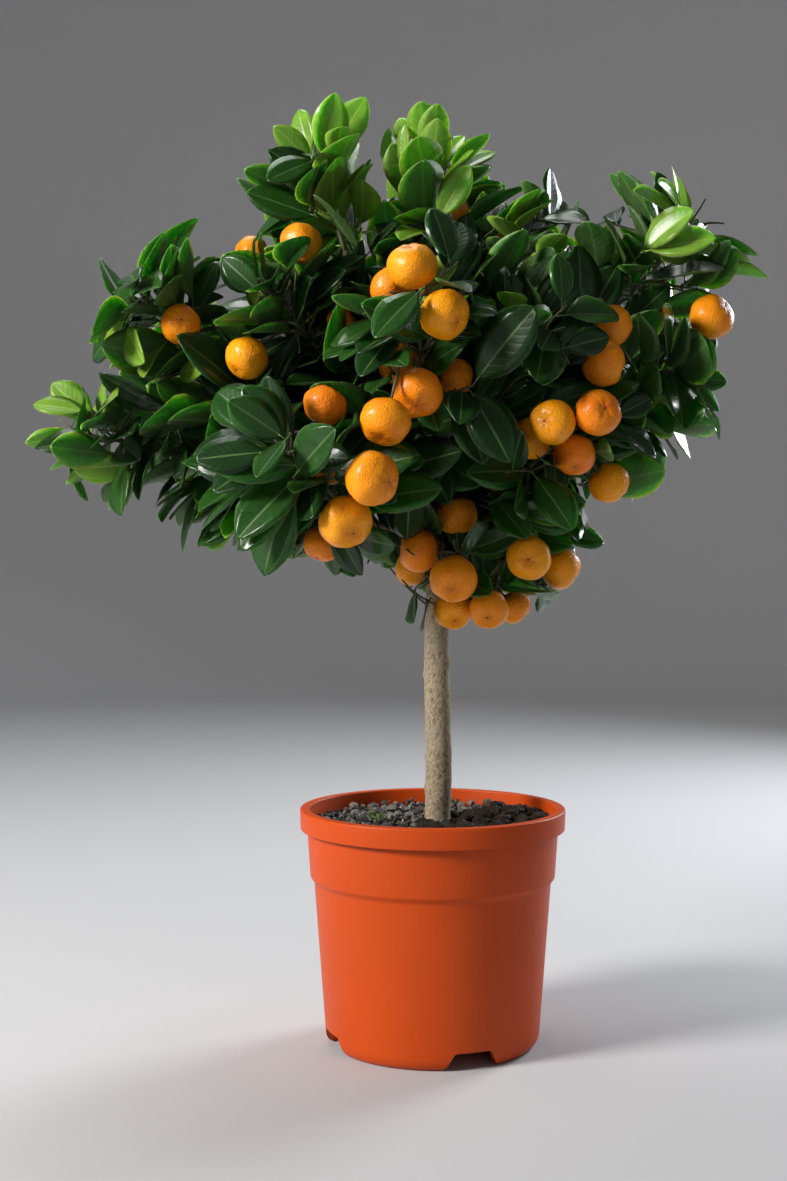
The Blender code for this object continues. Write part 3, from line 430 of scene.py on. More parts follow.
class Finish:
    """A procedural material while its nodes are added."""

    def __init__(self, name, colour, **constants):
        self.material = bpy.data.materials.new(name)
        self.material.use_nodes = True
        self.tree = self.material.node_tree
        self.shader = self.tree.nodes["Principled BSDF"]
        self.shader.inputs["Base Color"].default_value = (*colour, 1)
        self.material.diffuse_color = (*colour, 1)
        for name, value in constants.items():
            self.shader.inputs[name.replace("_", " ")].default_value = value

    def add(self, kind, settings=None, values=None, output=0):
        """Adds a node of a type, with its settings and then its sockets' values or wires."""
        node = self.tree.nodes.new(kind)
        for name, value in (settings or {}).items():
            setattr(node, name, value)
        for name, value in (values or {}).items():
            if isinstance(value, Wire):
                self.tree.links.new(value.socket, node.inputs[name])
            else:
                node.inputs[name].default_value = value
        return Wire(self, node.outputs[output])

    def place(self):
        """Where a point lies on the part, in metres."""
        return self.add("ShaderNodeTexCoord", output="Object")

    def mark(self, name):
        """(x, y, z) of a named attribute of the mesh."""
        node = self.add("ShaderNodeAttribute", {"attribute_name": name}, output="Vector")
        parts = self.add("ShaderNodeSeparateXYZ", values={0: node})
        return [Wire(self, output) for output in parts.socket.node.outputs]

    def maths(self, operation, *terms, clamp=False):
        settings = {"operation": operation, "use_clamp": clamp}
        return self.add("ShaderNodeMath", settings, dict(enumerate(terms)))

    def noise(self, scale, detail=3, rough=0.5):
        """Noise of one scale, or of one for each axis."""
        where = self.place()
        if isinstance(scale, tuple):
            where = self.add("ShaderNodeVectorMath", {"operation": "MULTIPLY"}, {0: where, 1: scale})
            scale = 1
        values = {"Vector": where, "Scale": scale, "Detail": detail, "Roughness": rough}
        return self.add("ShaderNodeTexNoise", values=values)

    def cells(self, scale):
        return self.add("ShaderNodeTexVoronoi", values={"Vector": self.place(), "Scale": scale})

    def mix(self, share, first, second):
        """A colour between two others, each of which is a wire or three numbers."""
        shades = [c if isinstance(c, Wire) else (*c, 1) for c in (first, second)]
        settings = {"data_type": "RGBA", "clamp_factor": True}
        return self.add("ShaderNodeMix", settings, {0: share, 6: shades[0], 7: shades[1]}, output=2)

    def shade(self, share, colour, dark, light):
        """A colour that goes from a darker factor of itself to a lighter one."""
        return self.mix(share, scaled(colour, dark), scaled(colour, light))

    def feed(self, name, wire):
        self.tree.links.new(wire.socket, self.shader.inputs[name])

    def bump(self, height, distance, strength=1.0):
        values = {"Height": height, "Distance": distance, "Strength": strength}
        self.feed("Normal", self.add("ShaderNodeBump", values=values))


def scaled(colour, *factors):
    """A colour times one factor, or times one for each of its three parts."""
    factors = factors * 3 if len(factors) == 1 else factors
    return tuple(min(part * factor, 1) for part, factor in zip(colour, factors))


def paled(colour, factor, added):
    return tuple(part * factor + added for part in colour)


def pot_finish(colour):
    """Moulded plastic: a fine even grain, faint flow marks and upright scuffs."""
    finish = Finish("pot_plastic", colour, Specular_IOR_Level=0.22)
    streaks = finish.noise((16, 16, 130), 4, 0.6)
    scuffs = finish.noise((70, 70, 16), 6, 0.7)
    tone = finish.shade(finish.noise(9).above(0.35, 0.7), colour, 0.93, 1.05)
    worn = scuffs.above(0.62, 0.78) * 0.35
    finish.feed("Base Color", finish.mix(worn * 0.45, tone, paled(colour, 0.8, 0.10)))
    finish.feed("Roughness", 0.40 + streaks * 0.10 + worn * 0.45)
    finish.bump(finish.noise(1100, 2) * 0.6 + streaks * 0.9, 0.00008, 0.5)
    return finish.material


def bark_finish(colour):
    """Dull tan bark: pale scaly ridges over darker fissures, from the mesh's own relief."""
    finish = Finish("bark", colour)
    relief, high_up, _ = finish.mark("relief")
    flecks = finish.noise((1100, 1100, 620), 5, 0.7)
    high = (relief * 0.65 + flecks * 1.35 - 0.50).clamped()
    tone = finish.shade(high.above(0.20, 0.74), colour, 0.36, 1.42)
    grey = finish.mix(finish.noise(55, 4, 0.6).above(0.45, 0.70) * 0.45, tone, (0.30, 0.27, 0.215))
    specks = 1 - finish.cells(620).above(0.10, 0.24)
    old = finish.mix(specks * 0.6, grey, scaled(colour, 0.30))
    young = finish.mix(high, (0.030, 0.030, 0.014), (0.105, 0.095, 0.048))
    finish.feed("Base Color", finish.mix(high_up, old, young))
    finish.feed("Roughness", 0.78 + flecks * 0.16)
    finish.bump(flecks, 0.00055)
    return finish.material


def twig_finish(colour):
    """Green-brown young wood with a fine grain."""
    finish = Finish("young_wood", colour)
    tone = finish.noise(60, 4, 0.6)
    finish.feed("Base Color", finish.mix(tone.above(0.35, 0.65), colour, (0.105, 0.085, 0.045)))
    finish.feed("Roughness", 0.55 + tone * 0.2)
    finish.bump(finish.noise(900), 0.00015, 0.6)
    return finish.material


def between_veins(finish, along, across, own):
    """0 on a leaf's side veins and 1 midway between them. Each leaf has its veins in its own place."""
    slant = along * 9.5 - abs(across) * 2.1 + own * 3
    return finish.maths("PINGPONG", slant, 0.5) * 2


def leaf_finish(name, colour, gloss, glow):
    """The glossy upper face of a leaf, with faint side veins, a slight waxy mottle and a pale edge."""
    finish = Finish(
        name, colour, Specular_IOR_Level=0.16, Coat_Weight=0.30, Coat_Roughness=0.15,
        Subsurface_Weight=glow, Subsurface_Radius=(0.3, 1.0, 0.1), Subsurface_Scale=0.002,
    )
    along, across, own = finish.mark("blade")
    mottle = finish.noise(95, 4, 0.6)
    flat = between_veins(finish, along, across, own)
    tone = finish.shade(mottle.above(0.3, 0.7), colour, 0.82, 1.18)
    veined = finish.mix((1 - flat.above(0.0, 0.22)) * 0.40, tone, paled(colour, 1.25, 0.012))
    edge = abs(across).above(0.88, 1.0)
    finish.feed("Base Color", finish.mix(edge * 0.55, veined, paled(colour, 1.5, 0.05)))
    finish.feed("Roughness", gloss + mottle * 0.16)
    finish.bump(flat.above(0.0, 0.5) * 0.8 + finish.noise(420, 2) * 0.25, 0.00030, 0.35)
    return finish.material


def underside_finish(name, colour):
    """The dull, paler lower face of a leaf, with its raised midrib and side veins."""
    finish = Finish(
        name, colour, Subsurface_Weight=0.4, Subsurface_Radius=(0.4, 1.0, 0.1), Subsurface_Scale=0.002
    )
    along, across, own = finish.mark("blade")
    tone = finish.noise(110, 4, 0.6)
    flat = between_veins(finish, along, across, own)
    vein = (1 - flat.above(0.0, 0.25)) * 0.35
    rib = 1 - abs(across).above(0.04, 0.10)
    mottled = finish.shade(tone.above(0.3, 0.7), colour, 0.80, 1.15)
    finish.feed("Base Color", finish.mix(vein + rib * 0.7, mottled, paled(colour, 1.5, 0.03)))
    finish.feed("Roughness", 0.48 + tone * 0.1)
    finish.bump(finish.noise(500, 2) * 0.4 + (1 - flat.above(0.0, 0.4)) * 0.8, 0.00025, 0.5)
    return finish.material


def peel_finish(name, colour, ripe):
    """Citrus peel: oil glands as fine pits, a soft shine, slow changes of orange and painted shade that
    darkens the blossom-end dimple.
    """
    finish = Finish(name, colour, Specular_IOR_Level=0.22, Coat_Weight=0.16, Coat_Roughness=0.18)
    pits, fine = finish.cells(820), finish.noise(420)
    foot, cap, _ = finish.mark("rind")
    blush = finish.mix(finish.noise(70).above(0.35, 0.72) * ripe, colour, scaled(colour, 0.92, 0.62, 0.7))
    # painted shade: the blossom-end dimple (foot) is darkened, as the shade that falls in it
    dimple = finish.mix(foot * 0.75, blush, scaled(colour, 0.62, 0.42, 1))
    tone = finish.mix(cap * 0.35, dimple, scaled(colour, 0.55, 0.75, 3))
    glands = (1 - pits.above(0.0, 0.28)) * 0.35
    finish.feed("Base Color", finish.mix(glands, tone, scaled(colour, 1.06, 1.30, 2.2)))
    finish.feed("Roughness", 0.34 + fine * 0.14)
    finish.bump(pits.above(0.0, 0.45) + fine * 1.3, 0.00045, 0.9)
    return finish.material


def stone_finish(name, colour, speckle):
    """Crushed stone: pores and a mineral speckle."""
    finish = Finish(name, colour)
    grain = finish.noise(900, 5, 0.7)
    tone = finish.shade(finish.noise(170).above(0.3, 0.7), colour, 0.55, 1.45)
    finish.feed("Base Color", finish.mix(grain.above(0.58, 0.75) * speckle, tone, (0.34, 0.32, 0.29)))
    finish.feed("Roughness", 0.42 + grain * 0.45)
    finish.bump(grain, 0.0006, 0.8)
    return finish.material


def compost_finish(colour):
    """Damp dark compost with paler fibres."""
    finish = Finish("compost", colour, Specular_IOR_Level=0.12)
    grain = finish.noise((520, 900, 700), 6, 0.75)
    tone = finish.shade(finish.noise(90).above(0.35, 0.65), colour, 0.6, 1.6)
    finish.feed("Base Color", finish.mix(grain.above(0.64, 0.76) * 0.4, tone, (0.080, 0.050, 0.030)))
    finish.feed("Roughness", 0.55 + grain * 0.4)
    finish.bump(grain, 0.0009, 0.9)
    return finish.material


def plain_finish(name, colour, roughness, spread=0.2, grain=300, detail=3, gloss_spread=0.1):
    """A quiet finish that changes a little in tone and in gloss."""
    finish = Finish(name, colour)
    tone = finish.noise(grain, detail)
    finish.feed("Base Color", finish.shade(tone, colour, 1 - spread, 1 + spread))
    finish.feed("Roughness", roughness + tone * gloss_spread)
    return finish.material


# Meshes


class Pile:
    """Gathers many small shapes into one mesh."""

    def __init__(self):
        self.points, self.faces, self.slots, self.marks = [], [], [], []
        self.count = 0

    def add(self, points, faces, slots=0, marks=None):
        points = np.asarray(points, dtype=float)
        self.points.append(points)
        self.faces += [[self.count + i for i in face] for face in faces]
        self.slots += [slots] * len(faces) if isinstance(slots, int) else list(slots)
        if marks is not None:
            self.marks.append(marks)
        self.count += len(points)

    def build(self, name, finishes, slot, mark=None, smooth=True):
        """The gathered shapes as one piece of the part."""
        mesh = bpy.data.meshes.new(name)
        mesh.from_pydata(np.concatenate(self.points).tolist(), [], self.faces)
        mesh.polygons.foreach_set("material_index", self.slots)
        mesh.polygons.foreach_set("use_smooth", [smooth] * len(self.faces))
        if mark:
            layer = mesh.attributes.new(mark, "FLOAT_VECTOR", "POINT")
            layer.data.foreach_set("vector", np.concatenate(self.marks).astype(np.float32).ravel())
        for finish in finishes:
            mesh.materials.append(finish)
        return add_piece(name, mesh)


def add_piece(name, mesh):
    obj = bpy.data.objects.new(name, mesh)
    bpy.context.scene.collection.objects.link(obj)
    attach(obj, "root")
    return obj


def applied(obj):
    """The object's mesh with its modifiers applied."""
    return bpy.data.meshes.new_from_object(obj.evaluated_get(bpy.context.evaluated_depsgraph_get()))


def turned(name, profile, steps):
    """A profile of (radius, height) points turned about Z, as a loose object."""
    mesh = bpy.data.meshes.new(name)
    mesh.from_pydata([(r, 0, z) for r, z in profile], [(i, i + 1) for i in range(len(profile) - 1)], [])
    obj = bpy.data.objects.new(name, mesh)
    bpy.context.scene.collection.objects.link(obj)
    screw = obj.modifiers.new("turn", "SCREW")
    screw.steps = screw.render_steps = steps
    screw.use_merge_vertices = True
    screw.merge_threshold = 0.00005
    screw.use_smooth_shade = True
    return obj


def rounded(profile):
    """A profile with its corners turned into short arcs. Each entry is (radius, height, rounding)."""
    points = []
    for i, (x, z, radius) in enumerate(profile):
        here = Vector((x, z))
        if not radius:
            points.append(here)
            continue
        before, after = Vector(profile[i - 1][:2]) - here, Vector(profile[i + 1][:2]) - here
        start = here + before.normalized() * min(radius, before.length * CORNER_REACH)
        end = here + after.normalized() * min(radius, after.length * CORNER_REACH)
        for k in range(CORNER_STEPS + 1):
            t = k / CORNER_STEPS
            points.append(start * (1 - t) ** 2 + here * 2 * t * (1 - t) + end * t * t)
    return points


def inner_wall(z):
    """The pot's inner radius at a height above its floor, below the rim."""
    if z >= STEP_Z:
        share = min((z - STEP_Z) / (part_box("pot")[1][2] - RIM_DROP - STEP_Z), 1)
        return STEP_RADIUS - WALL + (RIM_INNER_RADIUS - STEP_RADIUS + WALL) * share
    share = (z - FOOT_BEND_Z) / (BODY_TOP_Z - FOOT_BEND_Z)
    return BODY_FOOT_RADIUS + (BODY_TOP_RADIUS - BODY_FOOT_RADIUS) * min(share, 1) - WALL


def notch_cutter(number):
    """A prism with S-shaped flanks that cuts one drainage notch across the foot."""
    flank = [(NOTCH_FOOT_HALF, -NOTCH_OVERLAP)]
    for i in range(NOTCH_STEPS + 1):
        t = i / NOTCH_STEPS
        half = NOTCH_FOOT_HALF + (NOTCH_TOP_HALF - NOTCH_FOOT_HALF) * t
        flank.append((half, NOTCH_HEIGHT * (1 - math.cos(math.pi * t)) / 2))
    outline = [*flank, *[(-x, z) for x, z in reversed(flank)]]
    angle = FIRST_NOTCH_ANGLE + number * 2 * math.pi / NOTCHES
    outward = Vector((math.sin(angle), -math.cos(angle), 0))
    turn = Matrix((UP.cross(outward), UP, outward)).transposed()
    bm = bmesh.new()
    rings = [
        [bm.verts.new(outward * FOOT_RADIUS + turn @ Vector((x, z, depth))) for x, z in outline]
        for depth in (-NOTCH_DEPTH / 2, NOTCH_DEPTH / 2)
    ]
    bm.faces.new(rings[0])
    bm.faces.new(rings[1])
    for i in range(len(outline)):
        k = (i + 1) % len(outline)
        bm.faces.new((rings[0][i], rings[0][k], rings[1][k], rings[1][i]))
    bmesh.ops.recalc_face_normals(bm, faces=bm.faces)
    mesh = bpy.data.meshes.new("notch")
    bm.to_mesh(mesh)
    bm.free()
    return mesh


def make_pot(sizes, colours):
    """The thin-walled pot, with rounded edges and four notches across its foot."""
    top, bevel = sizes.height, sizes.rim_bevel
    bend = []
    for i in range(FOOT_BEND_STEPS + 1):
        turn = math.pi / 2 * i / FOOT_BEND_STEPS
        radius = FOOT_RADIUS + (BODY_FOOT_RADIUS - FOOT_RADIUS) * math.cos(turn)
        bend.append((radius, FOOT_BEND_Z * (1 - math.sin(turn)), 0))
    wall = [
        (BODY_FOOT_RADIUS + (BODY_TOP_RADIUS - BODY_FOOT_RADIUS) * share,
         FOOT_BEND_Z + (BODY_TOP_Z - FOOT_BEND_Z) * share, 0)
        for share in WALL_RINGS
    ]
    profile = [
        (0, WALL, 0),
        (PAD_RADIUS, WALL, 0.001),
        (PAD_RADIUS + PAD_SLOPE, FLOOR_Z + WALL, 0.001),
        (inner_wall(FLOOR_Z + WALL), FLOOR_Z + WALL, 0.002),
        (inner_wall(BODY_TOP_Z), BODY_TOP_Z, 0.001),
        (inner_wall(STEP_Z), STEP_Z, 0.001),
        (RIM_INNER_RADIUS, top - RIM_DROP, 0.001),
        (RIM_INNER_RADIUS, top, bevel * 0.7),
        (RIM_RADIUS, top, bevel),
        (RIM_RADIUS - DRAFT, top - RIM_DROP, 0.0007),
        (RIM_RADIUS - LIP_WALL, top - RIM_DROP, 0.0005),
        (RIM_RADIUS - LIP_WALL, top - WALL, 0.001),
        (NECK_RADIUS, top - WALL, 0.001),
        (NECK_RADIUS - DRAFT / 2, top - RIM_DROP, 0),
        (STEP_RADIUS, STEP_Z, 0.0012),
        (BODY_TOP_RADIUS, BODY_TOP_Z, 0.0016),
        *wall,
        *bend,
        (FOOT_INNER_RADIUS, 0, 0.0008),
        (BODY_FOOT_RADIUS - WALL - DRAFT, FLOOR_Z, 0.002),
        (PAD_RADIUS + PAD_SLOPE + PAD_WALL, FLOOR_Z, 0.001),
        (PAD_RADIUS + PAD_WALL, 0, 0.0008),
        (0, 0, 0),
    ]
    guide = turned("pot_guide", rounded(profile), sizes.steps)
    collection = bpy.data.collections.new("notches")
    for number in range(NOTCHES):
        collection.objects.link(bpy.data.objects.new(f"notch_{number}", notch_cutter(number)))
    cut = guide.modifiers.new("notches", "BOOLEAN")
    cut.operation = "DIFFERENCE"
    cut.operand_type = "COLLECTION"
    cut.collection = collection
    mesh = applied(guide)
    mesh.name = "nursery_pot"
    for cutter in [guide, *collection.objects]:
        bpy.data.objects.remove(cutter)
    bpy.data.collections.remove(collection)
    mesh.materials.clear()
    mesh.materials.append(pot_finish(colours.pot))
    mesh.polygons.foreach_set("material_index", [0] * len(mesh.polygons))
    mesh.set_sharp_from_angle(angle=SHARP_EDGE)
    pot = add_piece("nursery_pot", mesh)
    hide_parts("pot")


def random_vector(rng, low, high):
    return Vector([rng.uniform(low, high) for _ in range(3)])


def random_turn(rng, lean):
    """A turn about Z by any angle, after a lean of at most so many radians."""
    return Matrix.Rotation(rng.uniform(0, 6.28), 3, "Z") @ Matrix.Rotation(rng.uniform(-lean, lean), 3, "X")


def dressing_height(x, y):
    """How far the gravel and the loose compost stand above the soil."""
    coarse = math.sin(COARSE_LUMPS[0] * x + 1) * math.cos(COARSE_LUMPS[1] * y)
    lumps = coarse + FINE_SHARE * math.sin(FINE_LUMPS[0] * x + FINE_LUMPS[1] * y)
    away = (Vector((x, y)) - HEAP_CENTRE).length / HEAP_RADIUS
    return DRESSING_MEAN + DRESSING_LUMP * lumps / 2 + HEAP_HEIGHT * max(1 - away * away, 0)


def is_compost(x, y):
    """Whether compost and not gravel covers a place: the heap on the right and a strip before the trunk."""
    stray = HEAP_STRAY * noise.noise(Vector((x * 70, y * 70, 3)))
    heap = (Vector((x, y)) - HEAP_CENTRE).length / (HEAP_RADIUS * HEAP_SPREAD) + stray < 1
    strip = STRIP_FROM + 0.02 * stray < x < STRIP_TO and y < STRIP_FRONT
    return heap or strip


def ball(level):
    """The points and faces of an icosphere of radius 1."""
    bm = bmesh.new()
    bmesh.ops.create_icosphere(bm, subdivisions=level, radius=1)
    points = np.array([v.co for v in bm.verts])
    faces = [[v.index for v in face.verts] for face in bm.faces]
    bm.free()
    return points, faces


def lump(template, radii, rough, grain, rng):
    """An irregular stone or clod round the origin, turned at random."""
    away = random_vector(rng, 0, 90)
    swell = np.array([
        1 + rough * noise.noise(Vector(p) * grain + away)
        + rough * 0.6 * noise.noise(Vector(p) * grain * 3.1 - away)
        for p in template
    ])
    return (template * swell[:, None] * radii) @ np.array(random_turn(rng, 0.5)).T


def chip(radii, rng):
    """The points and faces of one angular stone: the hull of a few scattered points."""
    bm = bmesh.new()
    for k in range(CHIP_POINTS):
        z = 1 - (2 * k + 1) / CHIP_POINTS
        turn = k * GOLDEN_ANGLE + rng.uniform(-0.5, 0.5)
        ring = math.sqrt(1 - z * z)
        spot = Vector((ring * math.cos(turn), ring * math.sin(turn), z)) * rng.uniform(0.78, 1.08)
        bm.verts.new((spot.x * radii[0], spot.y * radii[1], spot.z * radii[2]))
    hull = bmesh.ops.convex_hull(bm, input=bm.verts)
    within = [part for part in hull["geom_interior"] if isinstance(part, bmesh.types.BMVert)]
    bmesh.ops.delete(bm, geom=within, context="VERTS")
    bm.verts.index_update()
    turn = random_turn(rng, 0.6)
    points = np.array([turn @ v.co for v in bm.verts])
    faces = [[v.index for v in face.verts] for face in bm.faces]
    bm.free()
    return points, faces


def scatter(tries, radii, spacing, wanted, outer, rng):
    """(x, y, radius) of stones of one kind, each no nearer to the others than spacing allows."""
    places = np.empty((0, 3))
    for _ in range(tries):
        radius = radii[0] + (radii[1] - radii[0]) * rng.random() ** MOSTLY_SMALL
        turn, way = rng.uniform(0, 2 * math.pi), (outer - radius) * math.sqrt(rng.random())
        x, y = way * math.cos(turn), way * math.sin(turn)
        if math.hypot(x - TRUNK_X, y) < TRUNK_RADIUS + radius * FREE_OF_TRUNK or not wanted(x, y):
            continue
        near = np.hypot(places[:, 0] - x, places[:, 1] - y)
        if not (near < (places[:, 2] + radius) * spacing).any():
            places = np.vstack([places, (x, y, radius)])
    return places.tolist()


def bed_shape(outer):
    """(points, faces) of the rough bed under the stones, with its two edges and a flat underside."""
    points = []
    turns = [2 * math.pi * k / BED_AROUND for k in range(BED_AROUND)]
    for i in range(BED_RINGS):
        radius = BED_INNER + (outer - BED_INNER) * i / (BED_RINGS - 1)
        for turn in turns:
            x, y = radius * math.cos(turn), radius * math.sin(turn)
            rough = sum(
                height * noise.noise(Vector((x * grain, y * grain, layer)))
                for height, grain, layer in BED_ROUGHNESS
            )
            points.append((x, y, SOIL_Z + dressing_height(x, y) - BED_DROP + rough))
    low, last = len(points), len(points) - BED_AROUND
    for radius in (BED_INNER, outer):
        points += [(radius * math.cos(turn), radius * math.sin(turn), SOIL_Z + GAP) for turn in turns]
    faces = []
    for k in range(BED_AROUND):
        n = (k + 1) % BED_AROUND
        for a in range(0, last, BED_AROUND):
            b = a + BED_AROUND
            faces.append((a + k, b + k, b + n, a + n))
        rim = low + BED_AROUND
        faces.append((low + k, k, n, low + n))
        faces.append((last + k, rim + k, rim + n, last + n))
        faces.append((rim + k, low + k, low + n, rim + n))
    return points, faces


def make_dressing(sizes, colours):
    """Gravel and clods over a rough bed, with a little moss among them."""
    rng = random.Random(DRESSING_SEED)
    outer = inner_wall(SOIL_Z) - BED_GAP
    bed, stones, clods, crumbs = Pile(), Pile(), Pile(), Pile()
    bed.add(*bed_shape(outer))
    bed_piece = bed.build("compost_bed", [compost_finish(colours.compost)], "top_dressing")
    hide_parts("top_dressing")

    def on_top(x, y, sink, rise):
        return x, y, SOIL_Z + dressing_height(x, y) - sink + rise

    stone_radii = sizes.small_stone, sizes.large_stone
    for x, y, radius in scatter(
        sizes.stones, stone_radii, STONE_SPACING, lambda x, y: not is_compost(x, y), outer, rng
    ):
        radii = (radius, radius * rng.uniform(*CHIP_WIDTHS), radius * rng.uniform(*CHIP_HEIGHTS))
        points, faces = chip(radii, rng)
        place = on_top(x, y, 0.0006, radius * rng.uniform(*CHIP_RISE))
        stones.add(points + place, faces, rng.choice((0, 0, 0, 1, 2, 2)))
    brown = (0.085, 0.062, 0.044)
    finishes = [
        stone_finish("gravel_grey", tuple(colours.gravel), 0.5), stone_finish("gravel_brown", brown, 0.35),
        stone_finish("gravel_dark", (0.032, 0.029, 0.027), 0.4),
    ]
    stones.build("gravel", finishes, "top_dressing", smooth=False)

    points, faces = ball(3)
    for x, y, radius in scatter(sizes.clods, CLOD_RADII, CLOD_SPACING, is_compost, outer, rng):
        radii = (radius, radius * rng.uniform(*CLOD_WIDTHS), radius * rng.uniform(*CLOD_HEIGHTS))
        shape = lump(points, radii, 0.55, 1.6, rng)
        clods.add(shape + on_top(x, y, 0.0004, radius * rng.uniform(*CLOD_RISE)), faces)
    clods.build("compost_clods", [compost_finish(colours.compost)], "top_dressing")

    points, faces = ball(1)
    for x, y, radius in scatter(CRUMBS, CRUMB_RADII, 1, lambda x, y: True, outer, rng):
        shape = lump(points, (radius, radius * 0.8, radius * 0.6), 0.6, 1.5, rng)
        place = on_top(x, y, 0, rng.uniform(*CRUMB_RISE))
        crumbs.add(shape + place, faces, 2 if rng.random() < WHITE_CRUMBS else int(is_compost(x, y)))
    finishes = [
        stone_finish("grit", brown, 0.3), plain_finish("compost_crumb", colours.compost, 0.7),
        plain_finish("white_grit", (0.55, 0.53, 0.48), 0.6),
    ]
    crumbs.build("crumbs", finishes, "top_dressing", smooth=False)
    make_moss(rng)


def make_moss(rng):
    """Tiny green sprigs in a small patch on the gravel."""
    moss = Pile()
    facets = [(0, 1, 2), (0, 2, 3), (0, 3, 4), (0, 4, 1), (5, 2, 1), (5, 3, 2), (5, 4, 3), (5, 1, 4)]
    for _ in range(SPRIGS):
        x, y = [rng.gauss(middle, spread) for middle, spread in zip(MOSS_CENTRE, MOSS_SPREAD)]
        root = Vector((x, y, SOIL_Z + dressing_height(x, y) + rng.uniform(0.0002, 0.0018)))
        turn, lean, length = rng.uniform(0, 6.28), rng.uniform(0.2, 1.1), rng.uniform(*SPRIG_LENGTHS)
        way = Vector((math.cos(turn) * math.sin(lean), math.sin(turn) * math.sin(lean), math.cos(lean)))
        side = way.cross(UP).normalized() * length * 0.20
        face = side.cross(way).normalized() * length * 0.05
        middle = root + way * length * 0.55
        points = [root, middle + side, middle + face, middle - side, middle - face, root + way * length]
        moss.add(points, facets)
    moss.build("moss", [plain_finish("moss", (0.080, 0.145, 0.025), 0.6)], "top_dressing", smooth=False)


# The limbs, by the rule of the part's source


def trunk_limb():
    """The trunk from the flat cut on the soil to its heading cut."""
    points, radii = [], []
    foot = SOIL_Z + GAP
    for ring in range(TRUNK_RINGS):
        share = ring / (TRUNK_RINGS - 1)
        rise = share ** RING_POWER * (TRUNK_TOP_Z - foot)
        z = foot + rise
        bend = TRUNK_BEND * math.sin(TRUNK_WAVE * rise) * min(rise / BEND_START, 1)
        points.append(Vector((TRUNK_X + TRUNK_LEAN * share + bend, SIDE_BEND * bend, z)))
        if z < TRUNK_NECK_Z:
            radius = TRUNK_RADIUS + (TRUNK_NECK_RADIUS - TRUNK_RADIUS) * rise / (TRUNK_NECK_Z - foot)
        else:
            above = (z - TRUNK_NECK_Z) / (TRUNK_TOP_Z - TRUNK_NECK_Z)
            radius = TRUNK_NECK_RADIUS + (TRUNK_TOP_RADIUS - TRUNK_NECK_RADIUS) * above
        radii.append(radius + FLARE * max(1 - rise / FLARE_HEIGHT, 0) ** 2)
    return Limb(points, radii)


def place_on(limb, share):
    """(point, direction, radius) at a share of a limb's length."""
    lengths = [0.0]
    for a, b in zip(limb.points, limb.points[1:]):
        lengths.append(lengths[-1] + (b - a).length)
    along = share * lengths[-1]
    for i in range(len(limb.points) - 1):
        if along <= lengths[i + 1] or i == len(limb.points) - 2:
            part = (along - lengths[i]) / (lengths[i + 1] - lengths[i])
            point = limb.points[i].lerp(limb.points[i + 1], part)
            direction = (limb.points[i + 1] - limb.points[i]).normalized()
            return point, direction, limb.radii[i] + (limb.radii[i + 1] - limb.radii[i]) * part


def tips_fed(name):
    """How many masses a bough carries, with those of the boughs that leave it."""
    return 1 + sum(tips_fed(mass.name) for mass in MASSES if mass.limb == name)


def sweep(start, first, second, end, t):
    """A point of the curve from start to end that two handles draw."""
    return start * (1 - t) ** 3 + first * 3 * t * (1 - t) ** 2 + second * 3 * t * t * (1 - t) + end * t ** 3


def bough_limb(mass, parent):
    """One bough: out of its parent square to the bark, then in one sweep into its mass."""
    root, along, parent_radius = place_on(parent, mass.at)
    heading = ((Vector(mass.centre) - root).normalized() + UP * LIFT).normalized()
    room = 1 / Vector([d / r for d, r in zip(heading, mass.radii)]).length
    tip = Vector(mass.centre) - heading * TIP_SHARE * room
    if mass.at < 1:
        side = tip - root
        side = (side - along * side.dot(along)).normalized()
        foot = root + side * (parent_radius + GAP)
    else:
        side = along
        foot = root + side * GAP
    start, end = foot + side * BOUGH_STUB, tip - heading * BOUGH_STUB
    span = (end - start).length
    first = start + (side + along * BOUGH_RISE) * span * FIRST_HANDLE
    second = end - heading * span * LAST_HANDLE
    inner = [sweep(start, first, second, end, i / (BOUGH_RINGS - 1)) for i in range(BOUGH_RINGS)]
    points = [foot, *inner, tip]
    fed = tips_fed(mass.name) ** PIPE_EXPONENT
    foot_radius = min(TIP_RADIUS * FOOT_SWELL * fed, parent_radius * THICKEST_FOOT)
    count = len(points) - 1
    return Limb(points, [foot_radius + (TIP_RADIUS - foot_radius) * i / count for i in range(count + 1)])


@lru_cache
def grow_limbs():
    """The trunk and each bough by name. A bough may leave another, which stands before it in MASSES."""
    limbs = {"trunk": trunk_limb()}
    for mass in MASSES:
        limbs[mass.name] = bough_limb(mass, limbs[mass.limb])
    return limbs


# The crown, by the rule of the part's source and on to finer twigs


class Solids:
    """The faces that a new twig or leaf must miss, gathered in one tree."""

    def __init__(self, vertices=(), faces=()):
        self.vertices = list(vertices)
        self.faces = list(faces)
        self.tree = BVHTree.FromPolygons(self.vertices, self.faces) if self.faces else None

    def add(self, *shapes):
        for vertices, faces in shapes:
            first = len(self.vertices)
            self.vertices += vertices
            self.faces += [tuple(first + i for i in face) for face in faces]
        self.tree = BVHTree.FromPolygons(self.vertices, self.faces)

    def hit_by(self, tree):
        return bool(self.tree and self.tree.overlap(tree))


